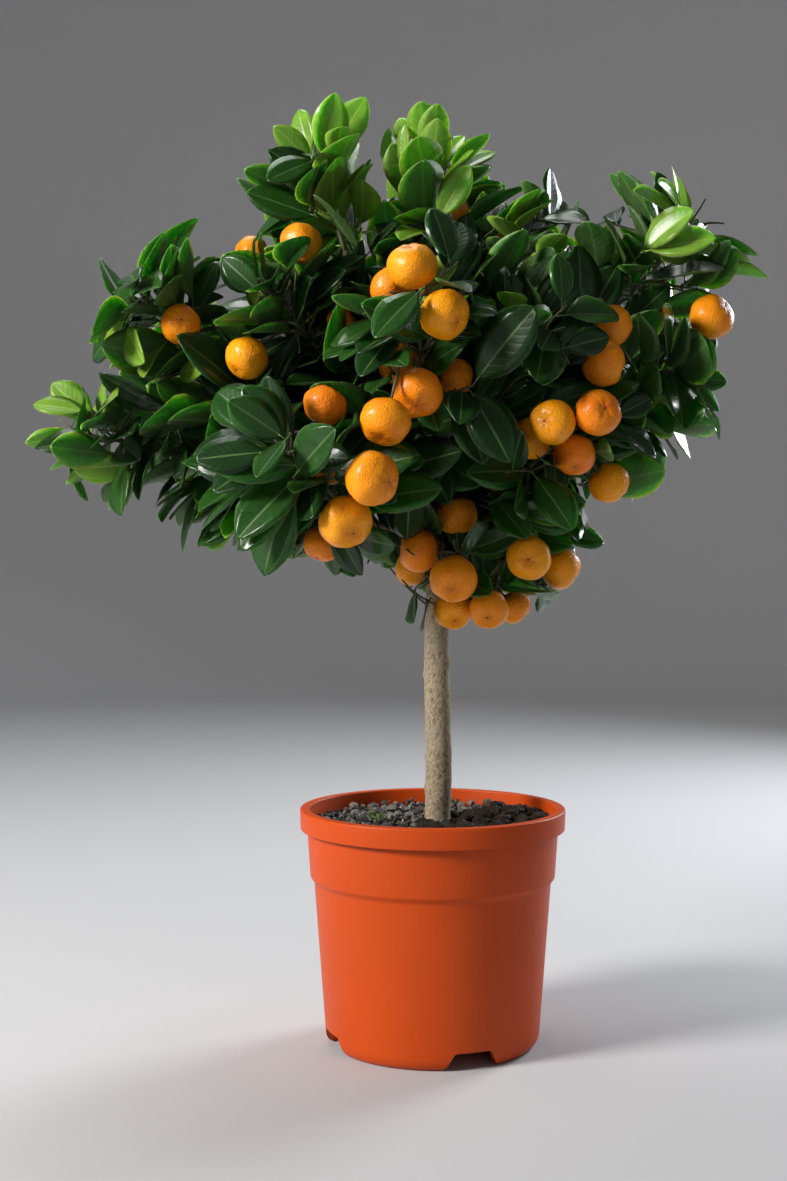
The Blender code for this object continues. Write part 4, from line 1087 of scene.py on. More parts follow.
class Space:
    """A mass's own space: its ellipsoid, cut flat where a neighbour's begins.

    Growth swells the ellipsoid on its side towards the heart of the crown, by that share of its radii.
    """

    def __init__(self, index, growth=0.0):
        self.centre = CENTRES[index]
        self.growth = growth
        self.outward = np.array((Vector(CENTRES[index]) - HEART).normalized())
        self.radii = RADII[index]
        to_others = CENTRES - self.centre
        distances = np.linalg.norm(to_others, axis=1)
        distances[index] = 1
        self.normals = to_others / distances[:, None]
        self.offsets = (distances ** 2 + WEIGHTS[index] - WEIGHTS) / (2 * distances)

    def inside(self, points, margin):
        """Which of the points lie in this space, at least margin from its sides."""
        offset = np.array(points) - self.centre
        outward = offset @ self.outward / np.maximum(np.linalg.norm(offset, axis=1), 1e-9)
        swell = 1 + self.growth * (1 - outward) / 2
        within = ((offset / (self.radii - margin)) ** 2).sum(axis=1) < swell ** 2
        return within & (offset @ self.normals.T < self.offsets - margin).all(axis=1)

    def holds(self, points, margin):
        return bool(self.inside(points, margin).all())

    def swollen_reach(self, point, direction):
        """How far a ray from a point runs before it leaves the swollen space, to a step."""
        steps = np.arange(0, FARTHEST, REACH_STEP)
        outside = ~self.inside(np.array(point) + steps[:, None] * np.array(direction), GAP)
        return float(steps[outside.argmax()] if outside.any() else steps[-1])

    def reach(self, point, direction):
        """How far a ray from a point in this space runs before it leaves it."""
        offset = np.array(point) - self.centre
        p, d = offset / self.radii, np.array(direction) / self.radii
        a, b, c = d @ d, p @ d, p @ p - 1
        if c > 0:
            return 0.0
        ahead = (-b + math.sqrt(b * b - a * c)) / a
        speed = self.normals @ np.array(direction)
        room = self.offsets - self.normals @ offset
        return max(min([ahead, *[r / v for r, v in zip(room, speed) if v > 1e-6]]), 0.0)


def tube_shape(points, radii, sides=6):
    """A tube's corners and side faces, for a test against other shapes."""
    ring = [Vector((math.cos(a), math.sin(a), 0)) for a in np.linspace(0, 2 * math.pi, sides + 1)[:-1]]
    corners = []
    for before, point, after, radius in zip(points[:1] + points, points, points[1:] + points[-1:], radii):
        turn = (after - before).to_track_quat("Z", "Y")
        corners += [point + turn @ way * radius for way in ring]
    faces = [
        (k * sides + i, k * sides + (i + 1) % sides, (k + 1) * sides + (i + 1) % sides, (k + 1) * sides + i)
        for k in range(len(points) - 1)
        for i in range(sides)
    ]
    return corners, faces


def twig_shape(twig, bare):
    """A twig with the clearance that leaves keep from it, from a little way off its foot."""
    way = (twig.end - twig.start).normalized()
    return tube_shape([twig.start + way * bare, twig.end], [twig.thick + CLEARANCE, twig.thin + CLEARANCE])


def fruit_shape(fruit):
    """A ball round a fruit, with the clearance that everything else keeps from it."""
    points, faces = ball(2)
    radius = fruit.diameter / 2 + CLEARANCE
    return [fruit.centre + Vector(point) * radius for point in points], [tuple(face) for face in faces]


def open_side(fruit):
    """The room before a fruit, on the side where it hangs out of the crown, that leaves stay out of."""
    way = (fruit.centre - Vector((TRUNK_X, OPEN_FROM, fruit.centre.z))).normalized()
    radius = fruit.diameter / 2
    ends = [fruit.centre + way * radius * 0.5, fruit.centre + way * (radius + OPEN_ROOM)]
    return tube_shape(ends, [radius * 0.75, radius * 0.60], 8)


def leaf_height(leaf, along, across):
    """How high a leaf's upper face stands over its frame's plane, at shares along and across it."""
    half = leaf.length * leaf.width / 2
    return half * leaf.fold * np.abs(across) - leaf.length * leaf.sag * np.power(along, SAG_POWER)


def leaf_shape(leaf):
    """The free part of a leaf's blade, for a test against other shapes."""
    half = leaf.length * leaf.width / 2
    places = ((FREE_FROM, 0, 0), (SHOULDER, 1, SHOULDER_WIDTH), (SHOULDER, -1, SHOULDER_WIDTH),
              (WAIST, 1, WAIST_WIDTH), (WAIST, -1, WAIST_WIDTH), (1, 0, 0))
    corners = [
        leaf.frame @ Vector((s * leaf.length, side * half * w, leaf_height(leaf, s, w)))
        for s, side, w in places
    ]
    return corners, [(0, 1, 2), (1, 3, 4, 2), (3, 5, 4), (0, 5, 3, 1), (0, 2, 4, 5)]


def leaf_frame(root, along, azimuth, angle, hang, stray):
    """A leaf's frame on a twig: it leans off the twig, and its upper face looks along it, up and outward."""
    side = Matrix.Rotation(azimuth, 3, along) @ along.orthogonal().normalized()
    blade = (along * math.cos(angle) + side * math.sin(angle) - UP * hang).normalized()
    lit = min(max(0.5 - root.y / LIT_DEPTH, 0), 1)
    face = along + UP * (FACE_UP + hang) + (root - HEART).normalized() * FACE_OUT + LIGHT * lit + stray
    face = (face - blade * face.dot(blade)).normalized()
    turn = Matrix((blade, face.cross(blade), face)).transposed().to_4x4()
    turn.translation = root
    return turn


def find_leaf(space, solids, root, along, azimuth, angle, hang, form, shares, margin, rng):
    """The first leaf that has room at a node, turned round the twig and leant until one has."""
    stray = random_vector(rng, -FACE_STRAY, FACE_STRAY)
    for share in shares:
        for turn in LEAF_TURNS:
            for lean in LEAF_LEANS:
                place = leaf_frame(root, along, azimuth + turn, angle * lean, hang, stray)
                leaf = Leaf(place, form[0] * share, *form[1:])
                shape = leaf_shape(leaf)
                if not space.holds(shape[0], margin):
                    continue
                tree = BVHTree.FromPolygons(*shape)
                if not any(solid.hit_by(tree) for solid in solids):
                    return leaf
    return None


def stem_of(index, limbs):
    """A mass's stem: from its bough's tip through its middle, until a leaf's length short of its far side."""
    bough = limbs[MASSES[index].name]
    heading = (bough.points[-1] - bough.points[-2]).normalized()
    foot = bough.points[-1] + heading * GAP
    length = max(Space(index).reach(foot, heading) - LEAF_ROOM, SHORTEST_STEM)
    return Twig(foot, foot + heading * length, TIP_RADIUS * STEM_SHARE, STEM_TIP_RADIUS)


def stalk_of(stem, fruit, solids):
    """The shortest clear twig from a stem to a fruit, with its end sunk in the fruit."""
    feet = [stem.start.lerp(stem.end, i / STALK_FEET) for i in range(1, STALK_FEET)]
    for foot in sorted(feet, key=lambda p: (p - fruit.centre).length):
        way = (fruit.centre - foot).normalized()
        clear = [foot + way * FREE_OF_STEM, fruit.centre - way * (fruit.diameter / 2 + STALK_SINK)]
        if not solids.hit_by(BVHTree.FromPolygons(*tube_shape(clear, [TWIG_RADIUS, TWIG_TIP_RADIUS]))):
            break
    return Twig(foot, fruit.centre - way * (fruit.diameter / 2 - STALK_SINK), TWIG_RADIUS, TWIG_TIP_RADIUS)


def off_twig(space, parent, foot, azimuth, angle, longest, room, shortest, thick, thin, solids, bare=0):
    """A twig that leaves its parent at a foot, turned round it until it is clear, or None."""
    along = (parent.end - parent.start).normalized()
    for turn in TWIG_TURNS:
        side = Matrix.Rotation(azimuth + turn, 3, along) @ along.orthogonal().normalized()
        lean = angle()
        way = along * math.cos(lean) + side * math.sin(lean)
        reach = space.swollen_reach if space.growth else space.reach
        length = min(reach(foot, way) - room, longest)
        if length < shortest:
            continue
        end = foot + way * length
        shape = tube_shape([foot + way * (FREE_OF_STEM + bare), end], [thick, thin])
        if space.holds(shape[0], GAP) and not any(s.hit_by(BVHTree.FromPolygons(*shape)) for s in solids):
            return Twig(foot, end, thick, thin)
    return None


def side_twigs(space, stem, solids, rng):
    """The part's own twigs off a stem, at the golden angle, each with room for its leaves."""
    twigs = []
    phase = rng.uniform(0, 2 * math.pi)
    count = round(space.radii.mean() / TWIG_SPREAD)
    for k in range(count):
        foot = stem.start.lerp(stem.end, FIRST_TWIG + (LAST_TWIG - FIRST_TWIG) * k / (count - 1))
        twig = off_twig(
            space, stem, foot, phase + k * GOLDEN_ANGLE,
            lambda: TWIG_ANGLE + rng.uniform(-TWIG_ANGLE_SPREAD, TWIG_ANGLE_SPREAD),
            LONGEST_TWIG, LEAF_ROOM, SHORTEST_TWIG, TWIG_RADIUS, TWIG_TIP_RADIUS, (solids,),
        )
        if twig:
            twigs.append(twig)
    return twigs


def fine_twigs(space, parent, count, longest, solids, rng):
    """Finer twigs off a twig, between its foot and its tip."""
    twigs = []
    phase = rng.uniform(0, 2 * math.pi)
    for k in range(count):
        foot = parent.start.lerp(parent.end, FIRST_FINE + FINE_SPAN * (k + rng.uniform(0.2, 0.8)) / count)
        twig = off_twig(
            space, parent, foot, phase + k * GOLDEN_ANGLE, lambda: FINE_ANGLE + rng.uniform(-0.2, 0.2),
            longest * rng.uniform(0.5, 1), FINE_ROOM, SHORTEST_FINE, FINE_RADIUS, FINE_TIP_RADIUS, solids,
        )
        if twig:
            twigs.append(twig)
            solids[1].add(twig_shape(twig, FREE_OF_STEM))
    return twigs


def grow_leaves(space, solids, twig, first, most, habit, rng):
    """Leaves along a twig from its tip down. A young twig's leaves are yellow-green and rather smaller.

    Some twigs reach to the edge of their space and others stop short of it, so the outline is uneven.
    """
    leaves = []
    sizes = habit.sizes
    way = (twig.end - twig.start).normalized()
    length = (twig.end - twig.start).length
    turn = rng.uniform(0, 2 * math.pi)
    tint = 2 if twig.young else (0 if rng.random() < OLD_SHARE else 1)
    margin = rng.uniform(*EDGE_MARGIN)
    for n in range(most):
        down = first + LEAF_STEP * n ** STEP_POWER
        if down > length - FREE_OF_STEM / 2:
            break
        angle = min(LEAF_ANGLE + LEAF_SPLAY * n, STEEPEST_LEAF) + rng.uniform(*ANGLE_STRAY)
        angle -= UPRIGHT * max(way.z, 0)
        small = YOUNG_TIP_SIZE if twig.young and n < YOUNG_TIP else 1
        form = (
            rng.uniform(sizes.shortest_leaf, sizes.longest_leaf) * small,
            sizes.leaf_width * rng.uniform(*LEAF_WIDTHS), sizes.sag * rng.uniform(*LEAF_SAGS),
            rng.uniform(*LEAF_FOLD), tint,
        )
        leaf = find_leaf(
            space, solids, twig.end - way * down, way, turn + n * GOLDEN_ANGLE, angle,
            habit.hang * rng.uniform(*HANG_SPREAD), form, habit.shares, margin, rng,
        )
        if leaf and rng.random() > MISSING:
            leaves.append(leaf)
            solids[1].add(leaf_shape(leaf))
    return leaves


def grow_mass(index, stem, stalks, solids, kept_open, sizes):
    """(side and finer twigs, leaves) of a mass."""
    mass = MASSES[index]
    space, own = Space(index, sizes.growth), Solids()
    sides = side_twigs(Space(index), stem, solids, random.Random(mass.seed))
    own.add(*[twig_shape(twig, FREE_OF_STEM) for twig in sides])
    rng = random.Random(mass.seed + FINE_SEED_STEP)
    both = (solids, own, kept_open)
    fine = fine_twigs(space, stem, STEM_FINE, sizes.fine_twig, both, rng)
    for twig in sides:
        fine += fine_twigs(space, twig, TWIG_FINE, sizes.fine_twig, both, rng)
    spray = [twig._replace(young=rng.random() < mass.young) for twig in [*sides, *fine]]
    stem = stem._replace(young=rng.random() < mass.young)
    habit = Habit(mass.hang, CROWDED_SIZES if len(mass.fruit) >= MUCH_FRUIT else LEAF_SIZES, sizes)
    leaves = grow_leaves(space, both, stem, ROOT_SINK, STEM_LEAVES, habit, rng)
    fewer = 1 if mass.hang < 0 else 0
    for twig in spray:
        most = (SIDE_LEAVES if twig.thick == TWIG_RADIUS else FINE_LEAVES) - fewer
        leaves += grow_leaves(space, both, twig, ROOT_SINK, most, habit, rng)
    for twig in stalks:
        leaves += grow_leaves(space, both, twig, STALK_BARE, STALK_LEAVES, habit, rng)
    return spray, leaves


class WholeCrown:
    """The space of all the masses together, swollen towards the heart of the crown."""

    growth = 0.0
    outward = (CENTRES - np.array(HEART)) / np.linalg.norm(CENTRES - np.array(HEART), axis=1)[:, None]

    def holds(self, points, margin):
        offset = np.array(points)[:, None] - CENTRES
        cosine = (offset * self.outward).sum(axis=2) / np.maximum(np.linalg.norm(offset, axis=2), 1e-9)
        swell = 1 + CROWN_SWELL * (1 - cosine) / 2
        share = np.sqrt(((offset / (RADII - margin)) ** 2).sum(axis=2)) / swell
        return bool(share.min(axis=1).max() < 1)

    def reach(self, point, direction):
        return 1.0


def grow_spurs(limbs, solids, kept_open, grown, sizes):
    """(spurs, leaves): short leafy twigs straight off the limbs, wherever the masses leave room inside."""
    rng = random.Random(SPUR_SEED)
    space, own = WholeCrown(), Solids()
    habit = Habit(SPUR_HANG, CROWDED_SIZES, sizes)
    spurs, leaves = [], []
    for name, limb in limbs.items():
        start, end = TRUNK_SPURS if name == "trunk" else BOUGH_SPURS
        length = sum((b - a).length for a, b in zip(limb.points, limb.points[1:]))
        count = round(length * (end - start) / SPUR_STEP)
        for k in range(count):
            point, along, radius = place_on(limb, start + (end - start) * (k + 0.5) / count)
            limb_here = Twig(point - along * 0.01, point + along * 0.01, radius, radius)
            spur = off_twig(
                space, limb_here, point, k * GOLDEN_ANGLE, lambda: TWIG_ANGLE + rng.uniform(-0.2, 0.3),
                rng.uniform(*SPUR_LENGTHS) + radius, 0, 0, FINE_RADIUS, FINE_TIP_RADIUS,
                (own, kept_open, grown), radius,
            )
            around = (solids, own, kept_open, grown)
            blades = grow_leaves(space, around, spur, ROOT_SINK, SPUR_LEAVES, habit, rng) if spur else []
            if blades:
                spurs.append(spur)
                own.add(twig_shape(spur, FREE_OF_STEM))
                leaves += blades
    return spurs, leaves


@lru_cache
def grow_crown():
    """Every mass, each grown clear of all the limbs, stems, fruit and stalks of the tree."""
    sizes = bpy.context.scene.calamondin_crown
    limbs = grow_limbs()
    solids = Solids()
    solids.add(*[tube_shape(limb.points, [r + CLEARANCE for r in limb.radii]) for limb in limbs.values()])
    fruit = [[Fruit(Vector(f[:3]), f[3]) for f in mass.fruit] for mass in MASSES]
    solids.add(*[fruit_shape(one) for bunch in fruit for one in bunch])
    stems = [stem_of(i, limbs) for i in range(len(MASSES))]
    shapes = [twig_shape(stem, 0) for stem in stems]
    kept_open = Solids()
    kept_open.add(*[open_side(one) for bunch in fruit for one in bunch])
    stalks = []
    for i in range(len(MASSES)):
        others = Solids(solids.vertices, solids.faces)
        others.add(*shapes[:i], *shapes[i + 1:])
        stalks.append([stalk_of(stems[i], one, others) for one in fruit[i]])
        if stalks[-1]:
            solids.add(*[twig_shape(stalk, FREE_OF_STEM) for stalk in stalks[-1]])
    solids.add(*shapes)
    twigs, leaves = [], []
    for i in range(len(MASSES)):
        spray, blades = grow_mass(i, stems[i], stalks[i], solids, kept_open, sizes)
        twigs += spray
        leaves += blades
    grown = Solids()
    grown.add(*[leaf_shape(leaf) for leaf in leaves], *[twig_shape(twig, FREE_OF_STEM) for twig in twigs])
    spurs, blades = grow_spurs(limbs, solids, kept_open, grown, sizes)
    twigs += spurs
    leaves += blades
    hung = [
        one._replace(way=(one.centre - stalk.start).normalized())
        for bunch, row in zip(fruit, stalks)
        for one, stalk in zip(bunch, row)
    ]
    return Crown(stems, twigs, [stalk for row in stalks for stalk in row], hung, leaves)


# The visible pieces of the tree


def smooth_line(limb, pitch):
    """A limb's centreline and radii with a point every pitch, through a smooth curve."""
    points, radii = limb
    fine, sizes = [], []
    for i in range(len(points) - 1):
        before = points[i - 1] if i else points[0] * 2 - points[1]
        after = points[i + 2] if i + 2 < len(points) else points[-1] * 2 - points[-2]
        steps = max(round((points[i + 1] - points[i]).length / pitch), 1)
        for k in range(steps):
            t = k / steps
            a, b = (points[i + 1] - before) / 2, (after - points[i]) / 2
            fine.append(
                points[i] * (2 * t ** 3 - 3 * t * t + 1) + a * (t ** 3 - 2 * t * t + t)
                + points[i + 1] * (3 * t * t - 2 * t ** 3) + b * (t ** 3 - t * t)
            )
            sizes.append(radii[i] + (radii[i + 1] - radii[i]) * t)
    return [*fine, points[-1]], [*sizes, radii[-1]]


def ring_frames(points):
    """Two directions across a line at each of its points, carried along without a twist."""
    frames = []
    across = (points[1] - points[0]).orthogonal().normalized()
    for i in range(len(points)):
        way = (points[min(i + 1, len(points) - 1)] - points[max(i - 1, 0)]).normalized()
        across = (across - way * across.dot(way)).normalized()
        frames.append((across.copy(), way.cross(across)))
    return frames


def tube(points, radii, sides, relief=None):
    """(corners, faces, marks) of a closed tube. Relief gives a corner's height and its mark."""
    corners, marks = [], []
    for (across, up), point, radius in zip(ring_frames(points), points, radii):
        for i in range(sides):
            turn = 2 * math.pi * i / sides
            way = across * math.cos(turn) + up * math.sin(turn)
            height, *mark = relief(point + way * radius, way, radius) if relief else (0, 0, 0)
            corners.append(point + way * (radius + height))
            marks.append((*mark, 0))
    faces = []
    for k in range(len(points) - 1):
        for i in range(sides):
            n = (i + 1) % sides
            faces.append((k * sides + i, k * sides + n, (k + 1) * sides + n, (k + 1) * sides + i))
    faces.append(tuple(reversed(range(sides))))
    faces.append(tuple(range((len(points) - 1) * sides, len(points) * sides)))
    return corners, faces, marks


FISSURE_GRAIN, RIDGE_GRAIN, BROAD_GRAIN = (900, 620), (520, 260), 70  # round the limb and along it
FISSURE_AWAY, RIDGE_AWAY, BROAD_AWAY = Vector(), Vector((4, 9, 2)), Vector((8, 1, 5))
BOUGH_PITCH, BOUGH_SIDE, FEWEST_SIDES, TRUNK_SIDES = 2.2, 0.0012, 12, 60
BOUGH_SINK, COLLAR, COLLAR_LENGTH, SUNK_SWELL = (1.2, 0.0012), 0.38, 0.0045, 1.3
TWIG_BOW, TWIG_FOOT, STEM_SINK = 0.05, 1.25, 0.003
SCARRED_FROM, SCAR_EDGE, SCAR_FALL = 0.009, 5, 1.6
RIDGE_SHARPNESS, FINE_PART, RIDGE_PART, FISSURE_BASE, TONE_PART = 2.2, 0.55, 0.75, 0.3, 0.35

# Small scars and side buds on the trunk: height, angle about it, how far it stands out and its size
SCARS = (
    (0.263, 180, 0.0011, 0.0032), (0.205, 185, 0.0009, 0.0030), (0.238, 265, 0.0008, 0.0036),
    (0.272, 350, 0.0009, 0.0050), (0.182, 172, 0.0009, 0.0045), (0.222, 60, 0.0009, 0.0040),
    (0.292, 120, 0.0010, 0.0045), (0.246, 20, 0.0006, 0.0060), (0.170, 250, 0.0006, 0.0050),
)


def grain_at(point, grain, away):
    """Noise at a point, with one grain round a limb and another along it."""
    return noise.noise(Vector((point.x * grain[0], point.y * grain[0], point.z * grain[1])) + away)


def bark_relief(sizes, limb_radius):
    """A function that gives the bark's height, its tone and how young it is at a point of a limb."""
    share = min(limb_radius / TRUNK_RADIUS, 1)

    def relief(point, way, radius):
        fine = grain_at(point, FISSURE_GRAIN, FISSURE_AWAY)
        ridge = 1 - abs(grain_at(point, RIDGE_GRAIN, RIDGE_AWAY)) * RIDGE_SHARPNESS
        broad = noise.noise(point * BROAD_GRAIN + BROAD_AWAY)
        fissure = FINE_PART * fine + RIDGE_PART * ridge - FISSURE_BASE
        height = share * (sizes.fissure * fissure + sizes.lump * broad)
        if limb_radius > SCARRED_FROM:
            for z, turn, rise, size in SCARS:
                side = Vector((math.cos(math.radians(turn)), math.sin(math.radians(turn)), 0))
                away = ((point.z - z) / size) ** 2 + ((way - side).length * radius / size) ** 2
                if away < SCAR_EDGE:
                    height += rise * math.exp(-away * SCAR_FALL)
        young = min(max((point.z - YOUNG_FROM) / (YOUNG_TO - YOUNG_FROM), 0), 1)
        tone = 0.5 + TONE_PART * fine + TONE_PART * (ridge - 0.5)
        return height, min(max(tone, 0), 1), young

    return relief


def with_collar(limb, points, radii):
    """A bough's line and radii, let into its parent and swollen where it leaves it."""
    way = (limb.points[1] - limb.points[0]).normalized()
    sink = radii[0] * BOUGH_SINK[0] + BOUGH_SINK[1]
    points, radii = [points[0] - way * sink, *points], [radii[0], *radii]
    run = 0.0
    for i in range(1, len(points)):
        run += (points[i] - points[i - 1]).length
        radii[i] *= 1 + COLLAR * math.exp(-max(run - sink, 0) / COLLAR_LENGTH)
    radii[0] *= SUNK_SWELL
    return points, radii


def make_bark(sizes, colours):
    """The trunk and every bough in one mesh that carries the bark's relief."""
    pile = Pile()
    for name, limb in grow_limbs().items():
        if name == "trunk":
            points, radii = smooth_line(limb, sizes.pitch)
            sides = TRUNK_SIDES
        else:
            points, radii = with_collar(limb, *smooth_line(limb, sizes.pitch * BOUGH_PITCH))
            sides = max(round(2 * math.pi * limb.radii[0] / BOUGH_SIDE), FEWEST_SIDES)
        corners, faces, marks = tube(points, radii, sides, bark_relief(sizes, limb.radii[0]))
        pile.add(corners, faces, marks=marks)
    bark = pile.build("bark", [bark_finish(colours.bark)], "bark", mark="relief")
    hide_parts("trunk", *[f"{mass.name}_bough" for mass in MASSES])


def bent(twig, bow, rings):
    """A twig as a curve that starts and ends where the twig does."""
    span = twig.end - twig.start
    points, radii = [], []
    for i in range(rings):
        t = i / (rings - 1)
        points.append(twig.start + span * t + bow * (4 * t * (1 - t)))
        radii.append(twig.thick + (twig.thin - twig.thick) * t)
    return points, radii


def make_twigs(colours):
    """The stems, the side twigs, the finer twigs, the spurs and the stalks of the fruit, in one mesh."""
    crown = grow_crown()
    rng = random.Random(TWIG_SEED)
    pile = Pile()
    for stem in crown.stems:
        way = (stem.end - stem.start).normalized()
        points, radii = bent(stem._replace(start=stem.start - way * STEM_SINK), Vector(), 8)
        pile.add(*tube(points, radii, 8)[:2])
    for twig in [*crown.twigs, *crown.stalks]:
        span = (twig.end - twig.start).length
        points, radii = bent(twig, random_vector(rng, -1, 1) * span * TWIG_BOW, 5)
        pile.add(*tube(points, [radii[0] * TWIG_FOOT, *radii[1:]], 6)[:2])
    twigs = pile.build("twigs", [twig_finish(colours.twig)], "bark")
    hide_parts(*[f"{mass.name}_foliage" for mass in MASSES])


def leaf_template():
    """The faces of a leaf and the material slot of each: 0 the upper face, 1 the midrib, 2 the underside."""
    faces, slots = [], []
    width = len(ACROSS) + len(BELOW)
    last = (len(OUTLINE) - 1) * width
    tip = last + width
    under = [0, *range(len(ACROSS), width), len(ACROSS) - 1]
    above_slots = [1 if i == 2 else 0 for i in range(len(ACROSS) - 1)]
    for a in range(0, last, width):
        b = a + width
        faces += [(a + i, b + i, b + i + 1, a + i + 1) for i in range(len(ACROSS) - 1)]
        faces += [(a + i, a + k, b + k, b + i) for i, k in zip(under, under[1:])]
        slots += [*above_slots, *[2] * (len(under) - 1)]
    faces += [(last + i, tip, last + i + 1) for i in range(len(ACROSS) - 1)]
    faces += [(last + i, last + k, tip) for i, k in zip(under, under[1:])]
    slots += [*above_slots, *[2] * (len(under) - 1)]
    faces.append((*range(len(ACROSS)), *reversed(under[1:-1])))
    slots.append(1)
    return faces, slots


def leaf_corners(leaf, wave, phase):
    """(corners, marks) of a leaf: a folded blade with a wavy edge, a keel below and its tip bent down."""
    rows, marks = [], []
    blade = leaf.length - PETIOLE
    for s, w in OUTLINE:
        half = blade * leaf.width / 2 * w
        share = (PETIOLE + blade * s) / leaf.length
        for i, t in enumerate((*ACROSS, *BELOW)):
            z = float(leaf_height(leaf, share, abs(t) * w)) + half * CUPPING * abs(t) * (1 - abs(t))
            z += wave * half * t * t * math.sin(2 * math.pi * (WAVES * s + phase) + t)
            if i >= len(ACROSS):
                z -= KEEL * (KEEL_FADE - s) if t == 0 else BELOW_DEPTH
            rows.append((PETIOLE + blade * s, half * t, z))
            marks.append((s, t, phase))
    rows.append((leaf.length, 0, float(leaf_height(leaf, 1, 0))))
    marks.append((1, 0, phase))
    corners = np.array(rows) @ np.array(leaf.frame.to_3x3()).T + np.array(leaf.frame.translation)
    return corners, marks


def make_leaves(colours):
    """The leaves, joined by the tint of their spray. Each has its stalk."""
    rng = random.Random(LEAF_SEED)
    faces, slots = leaf_template()
    piles = [Pile(), Pile(), Pile()]
    for leaf in grow_crown().leaves:
        corners, marks = leaf_corners(leaf, rng.uniform(0, LONGEST_WAVE), rng.random())
        piles[leaf.tint].add(corners, faces, slots, marks)
        stalk = [leaf.frame @ Vector(end) for end in ((-0.0012, 0, -0.0008), (PETIOLE + 0.003, 0, -0.0002))]
        points, sides, _ = tube(stalk, PETIOLE_RADII, PETIOLE_SIDES)
        piles[leaf.tint].add(points, sides, 1, [(0, 0, 0)] * len(points))
    rib = tuple(0.5 * a + b for a, b in zip(colours.leaf_mid, (0.048, 0.088, 0.022)))
    under = tuple(colours.underside)
    young_under = tuple(0.15 * a + 0.95 * b for a, b in zip(under, colours.leaf_young))
    kinds = (
        ("leaves_deep", colours.leaf_deep, rib, under, 0.30, 0.15),
        ("leaves_mid", colours.leaf_mid, rib, under, 0.28, 0.25),
        ("leaves_young", colours.leaf_young, scaled(colours.leaf_young, 1.5), young_under, 0.30, 0.5),
    )
    for pile, (name, face, midrib, below, gloss, glow) in zip(piles, kinds):
        finishes = [
            leaf_finish(name + "_face", tuple(face), gloss, glow),
            plain_finish(name + "_rib", midrib, 0.40, 0.15, grain=160, detail=2),
            underside_finish(name + "_under", below),
        ]
        pile.build(name, finishes, "foliage", mark="blade")


FRUIT_RINGS, FRUIT_AROUND, FRUIT_FLATTENING = 24, 36, 0.92
DIMPLE_WIDTH, CAP_WIDTH, CREASE_DEPTH, CREASE_WIDTH = 0.42, 0.33, 0.016, 0.24
DENTS = ((0.060, 1.7), (0.018, 4.5))  # height and grain
RIBS, RIB_HEIGHT, RIB_WIDTH = 8, 0.010, 0.5
STAR_POINTS, STAR_REACH, SCAR_SIDES, SCAR_SIZES = 10, (0.0019, 0.0034), 8, (0.0006, 0.0010)


def bell(x, width):
    return math.exp(-((x / width) ** 2))


